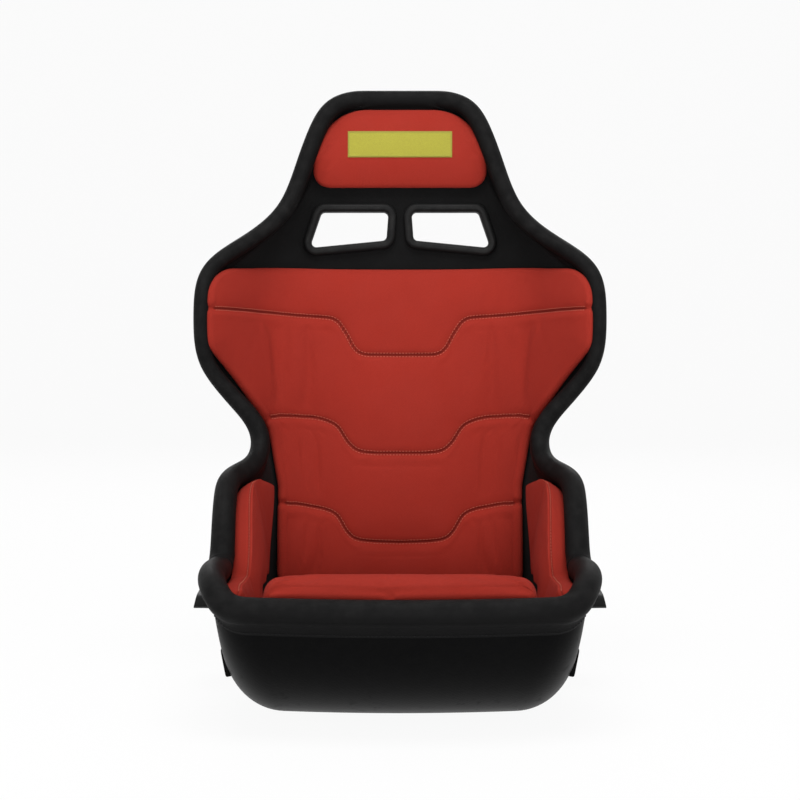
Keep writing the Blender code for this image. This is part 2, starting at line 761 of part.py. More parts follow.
def build_strips():
    across = np.linspace(-1, 1, 9)
    tall = BACK_PAD_TOP_Z - BACK_PAD_BOTTOM_Z
    for label, share, half in (("low", 0.22, 0.60), ("middle", 0.53, 0.60), ("top", 0.87, 0.62)):
        strip("hook_strip_back_" + label, from_front, across * half * BACK_PAD_LOW_HALF,
              band(BACK_PAD_BOTTOM_Z + share * tall))
    head_middle = (HEAD_PAD_BOTTOM_Z + HEAD_PAD_TOP_Z) / 2
    strip("hook_strip_head", from_front, across[::2] * 0.55 * HEAD_PAD_HALF, band(head_middle))
    front = CROTCH_SLOT_Y + CROTCH_SLOT_LONG / 2 + FLANGE + 2 + STRIP_WIDTH / 2
    for label, y in (("front", front), ("rear", front + 1.6 * STRIP_WIDTH)):
        strip("hook_strip_cushion_" + label, from_above, across * 0.6 * CUSHION_HALF, band(y))
    along = np.linspace(BOLSTER_FRONT_Y + 60, LAP_SLOT_Y - LAP_SLOT_LONG, 7)
    left = strip("hook_strip_bolster_left", from_side, along, band(BOLSTER_BOTTOM_Z + 55, 0.7 * STRIP_WIDTH))
    strip_mirror("hook_strip_bolster_right", left)


# ---- Side bolsters ----


def bolster_grid():
    """y and z over the wall: the top edge follows the rim, the lower edge steps over the lap slot."""
    y = np.concatenate([BOLSTER_FRONT_Y + np.array([0, 6, 22]), np.linspace(-185, -110, 4), np.linspace(-92, 20, 9),
                        np.linspace(38, BOLSTER_REAR_Y - 6, 5), [BOLSTER_REAR_Y]])
    hip = mix(BOLSTER_HIP_Z, BOLSTER_REAR_Z, np.clip((y - 12) / (BOLSTER_REAR_Y - 12), 0, 1) ** 1.4)
    drop = np.linspace(8, 60, 53)[:, None]
    clear = trim_clearance(from_side(y + 0 * drop, rim_height(y) - drop, 0.0)) > PAD_MARGIN
    free = np.where(clear, -drop, -61).max(0)
    top = np.minimum(rim_height(y) + free, hip)
    over_slot = LAP_SLOT_Z + LAP_SLOT_HIGH / 2 + FLANGE + 5
    step = np.clip((y - (LAP_SLOT_Y - LAP_SLOT_LONG / 2 - FLANGE - 62)) / 50, 0, 1)
    bottom = mix(BOLSTER_BOTTOM_Z, over_slot, step**2 * (3 - 2 * step))
    bottom += (LIP_Z / 3) * np.clip((BOLSTER_FRONT_Y + 60 - y) / 50, 0, 1)
    share = np.array([0, 0.05, 0.25, 0.5, 0.75, 0.95, 1])
    return y[:, None] + 0 * share, mix(bottom[:, None], top[:, None], share)


def build_bolsters():
    y, z = bolster_grid()
    base = pad_base()
    thick = mix(BOLSTER, BOLSTER_REAR, np.clip((y - 8) / (BOLSTER_REAR_Y - 8), 0, 1))
    edge = np.ones_like(y)
    edge[[0, -1]] = 0
    edge[:, [0, -1]] = 0
    base = base + PAD_MARGIN * np.clip((BOLSTER_FRONT_Y + 40 - y) / 20, 0, 1)
    lower = from_side(y, z, base)
    upper = from_side(y, z, base + thick - BOLSTER_ROUND * (1 - edge))
    upper[..., 0] = np.maximum(upper[..., 0], CUSHION_HALF + 2 * PAD_MARGIN)
    slab("side_bolster_left", lower, upper, RED_CLOTH)
    slab("side_bolster_right", mirrored(lower), mirrored(upper), RED_CLOTH)


# ---- Seat cushion ----


def build_cushion():
    """Foam wedge: its underside follows the tub, its top falls from the front crest to the back."""
    front_run = run_of_v(v_of_run(LIP_ROLL + 9))
    rear_run = run_of_v(v_of_depth(CUSHION_REAR_Y))
    half = CUSHION_HALF
    s = np.array([0, 0.27, 0.52, 0.76, 1.0]) * (half - CUSHION_SIDE_ROUND)
    s = np.concatenate([s, [half - 0.3 * CUSHION_SIDE_ROUND, half]])
    turn = np.radians([0, 30, 60, 90])
    rows = 7
    v = v_of_run(np.linspace(front_run, rear_run, rows + 5))
    under = middle_line(lifted(v[:, None], s[None], pad_base() + SEAT_GAP + 0 * v[:, None] * s))
    lip = surface(0, s)
    toe_y = lip[:, 1] + LIP_ROLL + PAD_MARGIN + 1
    toe_z = lip[:, 2] + 4
    crest_z = CUSHION_CREST_Z
    nose_y = toe_y[None] + CUSHION_ROUND * (1 - np.cos(turn))[:, None]
    nose_z = toe_z[None] + (crest_z - toe_z)[None] * np.sin(turn)[:, None]
    share = np.linspace(0, 1, rows + 1)[1:, None]
    top_y = mix(nose_y[-1:], CUSHION_REAR_Y, share)
    top_z = mix(crest_z, CUSHION_REAR_Z, np.clip((top_y - CUSHION_CREST_Y) / (CUSHION_REAR_Y - CUSHION_CREST_Y), 0, 1))
    y = np.vstack([nose_y, top_y, 0 * nose_y[:1] + CUSHION_REAR_Y + 4])
    z = np.vstack([nose_z, top_z, 0 * nose_z[:1] + CUSHION_REAR_Z - 12])
    drop = np.where(s > half - 0.9 * CUSHION_SIDE_ROUND, np.where(s == half, 1.0, 0.28), 0.0)
    z = z - CUSHION_SIDE_ROUND * 0.8 * drop * np.clip((z - toe_z) / 30, 0, 1)
    over = middle_line(np.stack([s[None] + 0 * y, y, z], -1))
    cushion = slab("seat_cushion", under, over, RED_CLOTH, half=True)
    add_mirror(cushion)
    return cushion


# ---- Harness slots ----


def outline(corners, radius, grow):
    """A round-cornered outline, counter-clockwise, moved outwards by grow."""
    corners = np.asarray(corners, float)
    count = len(corners)
    edges = np.roll(corners, -1, axis=0) - corners
    edges /= np.linalg.norm(edges, axis=1, keepdims=True)
    out = np.stack([edges[:, 1], -edges[:, 0]], -1)
    points = []
    for k in range(count):
        before, after = out[k - 1], out[k]
        bisector = (before + after) / (1 + before @ after)
        centre = corners[k] - radius * bisector
        first = math.atan2(before[1], before[0])
        swing = math.atan2(before[0] * after[1] - before[1] * after[0], before @ after)
        for share in (0, 1 / 3, 2 / 3, 1):
            angle = first + share * swing
            points.append(centre + (radius + grow) * np.array([math.cos(angle), math.sin(angle)]))
    return np.array(points)


def rectangle(middle_a, middle_b, wide, high):
    a, b = wide / 2, high / 2
    return [(middle_a - a, middle_b - b), (middle_a + a, middle_b - b),
            (middle_a + a, middle_b + b), (middle_a - a, middle_b + b)]


SHOULDER_SLOT = (
    [
        (SHOULDER_SLOT_INNER + 3, SHOULDER_SLOT_INNER_Z),
        (SHOULDER_SLOT_LOW_OUTER, SHOULDER_SLOT_OUTER_Z),
        (SHOULDER_SLOT_TOP_OUTER, SHOULDER_SLOT_TOP_Z),
        (SHOULDER_SLOT_INNER, SHOULDER_SLOT_TOP_Z),
    ],
    SHOULDER_SLOT_CORNER,
)
LAP_SLOT = (rectangle(LAP_SLOT_Y, LAP_SLOT_Z, LAP_SLOT_LONG, LAP_SLOT_HIGH), LAP_SLOT_CORNER)
CROTCH_SLOT = (rectangle(0, CROTCH_SLOT_Y, CROTCH_SLOT_WIDE, CROTCH_SLOT_LONG), CROTCH_SLOT_CORNER)


def swept_loops(place, slot, profile):
    """Loops round a slot, one for each point of a profile of outward and upward distances."""
    return np.stack([place(*outline(*slot, grow).T, height) for grow, height in profile])


def both_sides(name, loops, material, ring=True):
    made = []
    for side, points in (("left", loops), ("right", mirrored(loops))):
        made.append(tube(name + "_" + side, points, material, ring))
    return made


def front_profile(bead, reach):
    """Bezel on the lining: a collar through the wall and a rounded flange."""
    seat = LINING_GAP + LINING + BEZEL_GAP
    return [
        (0, seat + 0.55 * bead), (0, -reach), (COLLAR, -reach), (COLLAR, seat), (FLANGE, seat),
        (FLANGE, seat + 0.35 * bead), (0.86 * FLANGE, seat + 0.8 * bead), (0.55 * FLANGE, seat + bead),
        (0.2 * FLANGE, seat + 0.86 * bead),
    ]


def rear_profile():
    """Ring round the collar on the outside of the wall."""
    near, far = COLLAR + SEAT_GAP, 0.9 * FLANGE
    top, low = -(SHELL_WALL + BEZEL_GAP), -(SHELL_WALL + BEZEL_GAP + REAR_FLANGE)
    return [(near, top), (near, low), (0.75 * far, low), (far, low + 0.4 * REAR_FLANGE), (far, top)]


def slot_cutter(name, place, slot, mirror=False):
    """A prism through wall and lining, a little larger than the collar."""
    hole = COLLAR + HOLE_PLAY
    reach = SHELL_WALL + LINING + 8
    loops = swept_loops(place, slot, [(hole, -reach), (hole, 0), (hole, reach)])
    return tube(name, mirrored(loops) if mirror else loops, None)


def build_slots():
    reach = SHELL_WALL + BEZEL_GAP + 0.6 * REAR_FLANGE
    both_sides("shoulder_slot_bezel", swept_loops(from_front, SHOULDER_SLOT, front_profile(BEAD, reach)), BEZEL_RUBBER)
    both_sides("shoulder_slot_backing", swept_loops(from_front, SHOULDER_SLOT, rear_profile()), BEZEL_RUBBER)
    both_sides("lap_slot_bezel", swept_loops(from_side, LAP_SLOT, front_profile(0.6 * BEAD, reach)), BEZEL_RUBBER)
    thin = STRIP
    crotch = swept_loops(from_above, CROTCH_SLOT, front_profile(thin, SHELL_WALL - 0.6))
    tube("crotch_slot_bezel", crotch, BEZEL_RUBBER, ring=True)
    cutters = []
    for label, place, slot in (("shoulder", from_front, SHOULDER_SLOT), ("lap", from_side, LAP_SLOT)):
        for flip in (False, True):
            cutters.append(slot_cutter(label + ("_right_cutter" if flip else "_left_cutter"), place, slot, flip))
    cutters.append(slot_cutter("crotch_cutter", from_above, CROTCH_SLOT))
    return cutters


def build_lap_guides():
    """Open belt duct outside each lap slot, from a flange on the wall to a mouth at the side."""
    near = COLLAR + 2 * SEAT_GAP
    far = 0.9 * FLANGE
    root = -(SHELL_WALL + BEZEL_GAP)
    thick = GUIDE_WALL
    foot = swept_loops(from_side, LAP_SLOT, [(near, root), (far, root), (far, root - thick), (near + thick, root - thick)])
    mouth = []
    low = LAP_SLOT_Z - LAP_SLOT_HIGH / 2
    for grow in (near + thick, near + SEAT_GAP):
        ring = outline(*LAP_SLOT, grow)
        z = low + 0.85 * (ring[:, 1] - low)
        x = LAP_GUIDE_REACH - 0.15 * (z - low)
        mouth.append(np.stack([x, ring[:, 0], z], -1))
    both_sides("lap_belt_guide", np.concatenate([foot, np.array(mouth)]), BEZEL_RUBBER)


def cushion_cutter():
    """Opening in the cushion for the crotch strap."""
    corners, radius = CROTCH_SLOT
    ring = outline(corners, radius, COLLAR)
    loops = np.stack([np.column_stack([ring, np.full(len(ring), z)]) for z in (0.0, CUSHION_CREST_Z + 20)])
    return tube("cushion_cutter", loops, None)


# ---- Side mounting ----


def round_loop(centre, axis, radius, count=16):
    """A circle of points round an axis."""
    side = np.cross(axis, [0, 0, 1])
    side /= np.linalg.norm(side)
    up = np.cross(side, axis)
    turn = np.linspace(0, 2 * math.pi, count + 1)[:-1, None]
    return centre + radius * (np.cos(turn) * side + np.sin(turn) * up)


def build_bosses():
    """A flat boss outside the wall at each side mounting point, with a flanged threaded bush."""
    share = np.linspace(-0.5, 0.5, 5)
    cutters = []
    for label, y in (("front", BOSS_FRONT_Y), ("rear", BOSS_FRONT_Y + BOSS_SPACING)):
        centre = from_side(y, BOSS_Z, 0.0)
        axis = from_side(y, BOSS_Z, 1.0) - centre
        grid_y, grid_z = np.meshgrid(y + share * BOSS_SIZE, BOSS_Z + share * BOSS_SIZE)
        root = from_side(grid_y, grid_z, -(SHELL_WALL + STRIP_GAP))
        proud = SHELL_WALL + STRIP_GAP + BOSS_HEIGHT
        face = root - ((root - centre) @ axis + proud)[..., None] * axis
        inner = LINING_GAP + LINING
        recess = INSERT_FLANGE_THICK - proud
        bush = [
            (INSERT_BORE, -proud), (INSERT_FLANGE, -proud), (INSERT_FLANGE, recess),
            (INSERT_RADIUS, recess), (INSERT_RADIUS, inner), (INSERT_BORE, inner),
        ]
        play = INSERT_PLAY
        hole = [
            (INSERT_FLANGE + play, -proud - 5), (INSERT_FLANGE + play, recess + play),
            (INSERT_RADIUS + play, recess + play), (INSERT_RADIUS + play, inner + 5),
        ]
        for side, flip in (("left", np.array([1, 1, 1])), ("right", np.array([-1, 1, 1]))):
            place = label + "_" + side
            boss = slab("mount_boss_" + place, root * flip, face * flip, GELCOAT)
            loops = np.array([round_loop(centre + depth * axis, axis, radius) for radius, depth in bush])
            tube("mount_insert_" + place, loops * flip, INSERT_STEEL, ring=True)
            loops = np.array([round_loop(centre + depth * axis, axis, radius) for radius, depth in hole])
            cutters.append(tube("boss_cutter_" + place, loops * flip, None))
            cut_away(boss, cutters[-1:])
    return cutters


def main():
    shell, lining = build_tub()
    build_trim()
    build_back_pads()
    build_strips()
    build_bolsters()
    cushion = build_cushion()
    cutters = build_slots()
    build_lap_guides()
    cutters += build_bosses()
    cut_away(shell, cutters)
    cut_away(lining, cutters)
    cut_away(cushion, [cushion_cutter()])


clear_scene()
PARTS = new_collection("racing_seat", True)
CUTTERS = new_collection("cutters", False)
GELCOAT = finish_material("tub_gelcoat", (0.012, 0.012, 0.013), 0.4)
LINING_CLOTH = finish_material("lining_cloth", (0.011, 0.011, 0.012), 0.9)
TRIM_CLOTH = finish_material("trim_cloth", (0.016, 0.016, 0.017), 0.65)
RED_CLOTH = finish_material("red_cloth", (0.32, 0.028, 0.016), 0.9)
PATCH_CLOTH = finish_material("patch_cloth", (0.44, 0.40, 0.04), 0.7)
HOOK_TAPE = finish_material("hook_tape", (0.02, 0.02, 0.022), 0.9)
BEZEL_RUBBER = finish_material("bezel_rubber", (0.02, 0.02, 0.021), 0.55)
INSERT_STEEL = finish_material("insert_steel", (0.55, 0.55, 0.54), 0.35, 1.0)
main()
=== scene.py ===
"""Fixed-back racing bucket seat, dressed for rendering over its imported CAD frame.

Every soft or curved piece is worked out again on the tub's inner face, the surface that the CAD is
laid on. A point of it has a run v, from 0 at the front lip, along the floor and up the back, to 1 at
the top of the head, and a girth s, the distance in millimetres from the middle line towards the rim.
All sizes are in millimetres and become metres when a mesh is made. +Z is up, the sitter faces -Y.
"""

import logging
import math
from collections.abc import Callable, Sequence
from dataclasses import dataclass, field
from enum import Enum
from functools import cached_property

import bpy
import numpy as np
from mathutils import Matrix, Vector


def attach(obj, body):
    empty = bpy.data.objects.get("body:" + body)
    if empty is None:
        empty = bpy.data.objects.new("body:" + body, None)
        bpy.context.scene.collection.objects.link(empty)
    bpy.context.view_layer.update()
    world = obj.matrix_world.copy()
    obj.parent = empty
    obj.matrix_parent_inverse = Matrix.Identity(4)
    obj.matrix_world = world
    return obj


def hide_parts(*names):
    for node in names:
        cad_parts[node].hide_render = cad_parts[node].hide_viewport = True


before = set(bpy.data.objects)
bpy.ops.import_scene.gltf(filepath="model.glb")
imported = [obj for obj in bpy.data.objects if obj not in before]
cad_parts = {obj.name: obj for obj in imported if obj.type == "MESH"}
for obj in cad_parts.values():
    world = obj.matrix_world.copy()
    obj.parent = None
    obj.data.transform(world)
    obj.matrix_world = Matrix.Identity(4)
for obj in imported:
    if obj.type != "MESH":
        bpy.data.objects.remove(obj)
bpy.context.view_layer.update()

Array = np.ndarray
Colour = tuple[float, float, float]
Inputs = dict[str | int, object]
Socket = bpy.types.NodeSocket
LOG = logging.getLogger("racing_seat")
MM = 0.001
FLIP_X = np.array([-1.0, 1.0, 1.0])


class Look(Enum):
    """The seat's finishes, each with the record's material slot that it belongs to."""

    GELCOAT = ("shell", "tub_gelcoat")
    LINING = ("lining", "lining_cloth")
    TRIM = ("trim", "trim_cloth")
    RED = ("pads", "red_cloth")
    PATCH = ("patch", "patch_cloth")
    TAPE = ("tape", "hook_tape")
    RUBBER = ("rings", "bezel_rubber")
    STEEL = ("bushes", "insert_steel")
    RED_THREAD = ("pad_seams", "red_cloth")
    BLACK_THREAD = ("trim_seams", "trim_cloth")

    @property
    def slot(self) -> str:
        """The record's material slot."""
        return self.value[1]


class Side(Enum):
    """A side of the seat, as the sitter has it, with the sign of x there."""

    LEFT = 1
    RIGHT = -1


# ---- Number work ----


def mix(low: Array | float, high: Array | float, share: Array | float) -> Array | float:
    """The value that lies this share of the way from low to high."""
    return low + share * (high - low)


def smooth(share: Array) -> Array:
    """A share from 0 to 1 that starts and ends level: 3t^2 - 2t^3."""
    t = np.clip(share, 0, 1)
    return t * t * (3 - 2 * t)


def unit(vectors: Array) -> Array:
    """Vectors of length one."""
    return vectors / np.maximum(np.linalg.norm(vectors, axis=-1, keepdims=True), 1e-12)


def peak(distance: Array, width: float) -> Array:
    """A soft peak: 1 at distance 0, about 0.37 at the width and nothing far away."""
    return np.exp(-((distance / width) ** 2))


def lengths(points: Array) -> Array:
    """Running length along a line of points."""
    return np.concatenate([[0], np.cumsum(np.linalg.norm(np.diff(points, axis=0), axis=1))])


def at_lengths(at: Array, length: Array, values: Array) -> Array:
    """Rows of values at these running lengths."""
    return np.stack([np.interp(at, length, column) for column in values.T], -1)


def nearest_steps(by_a: Array, by_b: Array, miss: Array) -> tuple[Array, Array]:
    """How far to go along each of two directions to come as near as possible to a vector."""
    a, b, c = (by_a * by_a).sum(-1), (by_a * by_b).sum(-1), (by_b * by_b).sum(-1)
    p, q = (by_a * miss).sum(-1), (by_b * miss).sum(-1)
    area = np.maximum(a * c - b * b, 1e-6)
    return (c * p - b * q) / area, (a * q - b * p) / area


def resample(values: Array, places: Array, axis: int = 0) -> Array:
    """Values at fractional places along an axis, by Catmull-Rom cubics through the four nearest.

    Args:
        values: numbers on an even grid.
        places: fractional indices along the axis.
        axis: the axis to work along.

    Returns:
        The values there, with the axis as long as places.
    """
    rows = np.moveaxis(values, axis, 0)
    last = len(rows) - 1
    k = np.clip(places.astype(int), 0, last - 1)
    t = (places - k).reshape(-1, *[1] * (rows.ndim - 1))
    a, b, c, d = rows[np.maximum(k - 1, 0)], rows[k], rows[k + 1], rows[np.minimum(k + 2, last)]
    found = b + 0.5 * t * (c - a + t * (2 * a - 5 * b + 4 * c - d + t * (3 * (b - c) + d - a)))
    return np.moveaxis(found, 0, axis)


def soften(values: Array, width: float, wrap: bool = False) -> Array:
    """Values along the first axis, averaged with a bell of this width in steps.

    Args:
        values: one row for each step.
        width: the bell's standard deviation, in steps.
        wrap: whether the last row meets the first.

    Returns:
        The averaged rows.
    """
    reach = max(1, math.ceil(3 * width))
    bell = np.exp(-0.5 * (np.arange(-reach, reach + 1) / width) ** 2)
    bell /= bell.sum()
    flat = values.reshape(len(values), -1)
    padded = np.pad(flat, ((reach, reach), (0, 0)), mode="wrap" if wrap else "edge")
    columns = [np.convolve(padded[:, k], bell, "valid") for k in range(flat.shape[1])]
    return np.stack(columns, -1).reshape(values.shape)


def line_distance(points: Array, line: Array) -> Array:
    """Distance of points from an open polyline: the least over its straight pieces.

    Args:
        points: any grid of points, (..., 3).
        line: the polyline's points, (n, 3).

    Returns:
        One distance for each point.
    """
    flat = points.reshape(-1, 3)
    found = np.full(len(flat), 1e9)
    near = np.nonzero(((flat > line.min(0) - 40) & (flat < line.max(0) + 40)).all(1))[0]
    start, step = line[:-1], np.diff(line, axis=0)
    for part in np.array_split(near, max(1, len(near) // 4000)):
        away = flat[part, None] - start
        share = np.clip((away * step).sum(-1) / (step * step).sum(-1), 0, 1)
        found[part] = np.linalg.norm(away - share[..., None] * step, axis=-1).min(1)
    return found.reshape(points.shape[:-1])


def grid_normals(points: Array, wrap: bool = False) -> Array:
    """Unit normals of a grid of points, from the differences to its neighbours.

    Args:
        points: rows and columns of points.
        wrap: whether the last column meets the first.

    Returns:
        The cross product of the way along the rows' axis and along the columns' axis.
    """
    down = np.gradient(points, axis=0)
    over = (np.roll(points, -1, 1) - np.roll(points, 1, 1)) if wrap else np.gradient(points, axis=1)
    return unit(np.cross(over, down))


# ---- Meshes ----


@dataclass
class Sheet:
    """Points in millimetres with quads, a cloth map for each point and named point values."""

    points: Array
    quads: Array
    cloth: Array | None = None
    values: dict[str, Array] = field(default_factory=dict)

    def mirrored(self) -> "Sheet":
        """The same on the other side of the middle plane."""
        return Sheet(self.points * FLIP_X, self.quads[:, ::-1], self.cloth, self.values)

    def joined(self, other: "Sheet") -> "Sheet":
        """Both as one, as long as both have the same maps and values."""
        cloth = None if self.cloth is None else np.concatenate([self.cloth, other.cloth])
        values = {name: np.concatenate([mine, other.values[name]]) for name, mine in self.values.items()}
        quads = np.concatenate([self.quads, other.quads + len(self.points)])
        return Sheet(np.concatenate([self.points, other.points]), quads, cloth, values)

    def without_loose(self) -> "Sheet":
        """The same without the points that no quad uses; values that are added later fit all points."""
        used, place = np.unique(self.quads, return_inverse=True)
        if len(used) == len(self.points):
            return self
        values = {name: numbers[used] for name, numbers in self.values.items()}
        return Sheet(self.points[used], place.reshape(self.quads.shape), self.cloth[used], values)

    def volume(self) -> float:
        """Six times the signed volume that the quads enclose."""
        corner = self.points[self.quads]
        half = np.einsum("ij,ij->", corner[:, 0], np.cross(corner[:, 1], corner[:, 2]))
        return float(half + np.einsum("ij,ij->", corner[:, 0], np.cross(corner[:, 2], corner[:, 3])))


def grid_quads(rows: int, columns: int, first: int = 0, wrap: bool = False) -> Array:
    """Quads over a grid of points that is numbered row by row.

    Args:
        rows: rows of points.
        columns: columns of points.
        first: number of the first point.
        wrap: whether the last column joins the first.

    Returns:
        One row of four numbers for each quad.
    """
    i, j = np.meshgrid(np.arange(rows - 1), np.arange(columns if wrap else columns - 1), indexing="ij")
    across = (j + 1) % columns
    quads = [i * columns + j, i * columns + across, (i + 1) * columns + across, (i + 1) * columns + j]
    return np.stack(quads, -1).reshape(-1, 4) + first


def border(rows: int, columns: int) -> Array:
    """Numbers of a grid's outermost points in order round it."""
    n = np.arange(rows * columns).reshape(rows, columns)
    return np.concatenate([n[0, :-1], n[:-1, -1], n[-1, :0:-1], n[:0:-1, 0]])


def tube_sheet(loops: Array, ring: bool = False, along: Array | None = None) -> Sheet:
    """The closed surface carried by a row of closed loops.

    Args:
        loops: rows of loops, each with the same count of points.
        ring: whether the last loop joins the first. Otherwise each end closes on its own middle.
        along: how far along the length each loop lies, for the cloth map.

    Returns:
        The surface with a cloth map of the way round and the way along.
    """
    rows, columns = loops.shape[:2]
    steps = np.linalg.norm(np.diff(loops, axis=1), axis=-1).mean(0)
    around = np.concatenate([[0], np.cumsum(steps)])
    if along is None:
        along = lengths(loops.mean(1))
    if ring:
        points = loops
        quads = grid_quads(rows + 1, columns, 0, True) % (rows * columns)
    else:
        middle = loops[[0, -1]].mean(1, keepdims=True)
        points = np.concatenate([mix(middle[:1], loops[:1], 0.02), loops, mix(middle[1:], loops[-1:], 0.02)])
        along = np.concatenate([along[:1], along, along[-1:]])
        quads = grid_quads(rows + 2, columns, 0, True)
        last = end_quads(columns, (rows + 1) * columns)
        quads = np.concatenate([quads, end_quads(columns, 0), last[:, ::-1]])
    cloth = np.stack(np.broadcast_arrays(around[None, :], along[:, None]), -1)
    return Sheet(points.reshape(-1, 3), quads, cloth.reshape(-1, 2))


def lone_edges(quads: Array) -> tuple[Array, Array]:
    """The first and second points of the edges that only one of the quads has."""
    starts, ends = quads.ravel(), np.roll(quads, -1, 1).ravel()
    span = quads.max() + 1
    alone = ~np.isin(starts * span + ends, ends * span + starts)
    return starts[alone], ends[alone]


def end_quads(count: int, first: int) -> Array:
    """Quads that close an even loop of points, as strips between its two halves."""
    k = np.arange(count // 2 - 1)
    return np.stack([first + k, first + (count - k) % count, first + count - 1 - k, first + k + 1], -1)[:, ::-1]


@dataclass
class Bench:
    """Makes Blender objects from sheets and hides the CAD nodes that they stand for."""

    finishes: dict[Look, bpy.types.Material]
    made: list[str] = field(default_factory=list)

    @staticmethod
    def mesh(name: str, sheet: Sheet, angle: float = 40.0) -> bpy.types.Object:
        """An object whose mesh is the sheet, in metres, turned outwards and shaded smooth.

        Args:
            name: name of the object.
            sheet: the closed surface.
            angle: edges sharper than this many degrees stay sharp.

        Returns:
            The new object.
        """
        quads = sheet.quads if sheet.volume() > 0 else sheet.quads[:, ::-1]
        mesh = bpy.data.meshes.new(name)
        mesh.vertices.add(len(sheet.points))
        mesh.vertices.foreach_set("co", (sheet.points * MM).astype(np.float32).ravel())
        mesh.loops.add(quads.size)
        mesh.loops.foreach_set("vertex_index", quads.astype(np.int32).ravel())
        mesh.polygons.add(len(quads))
        mesh.polygons.foreach_set("loop_start", np.arange(0, quads.size, 4, dtype=np.int32))
        mesh.update(calc_edges=True)
        if sheet.cloth is not None:
            layer = mesh.uv_layers.new(name="cloth")
            layer.data.foreach_set("uv", (sheet.cloth[quads.ravel()] * MM).astype(np.float32).ravel())
        for label, numbers in sheet.values.items():
            mesh.attributes.new(label, "FLOAT", "POINT").data.foreach_set("value", numbers.astype(np.float32))
        mesh.shade_smooth()
        mesh.set_sharp_from_angle(angle=math.radians(angle))
        mesh.validate()
        thing = bpy.data.objects.new(name, mesh)
        bpy.context.scene.collection.objects.link(thing)
        return thing

    def piece(self, name: str, sheet: Sheet, look: Look, stands_for: Sequence[str] = (),
              angle: float = 40.0) -> bpy.types.Object:
        """A finished piece that rides on the seat's one body.

        Args:
            name: name of the piece.
            sheet: its closed surface.
            look: its finish.
            stands_for: the CAD nodes that it replaces.
            angle: edges sharper than this many degrees stay sharp.

        Returns:
            The new object.
        """
        thing = self.mesh(name, sheet, angle)
        thing.data.materials.append(self.finishes[look])
        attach(thing, "root")
        look.slot
        if stands_for:
            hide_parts(*stands_for)
        self.made.append(name)
        LOG.info("%s: %d points, %d faces", name, len(sheet.points), len(sheet.quads))
        return thing


# ---- The tub's inner face ----


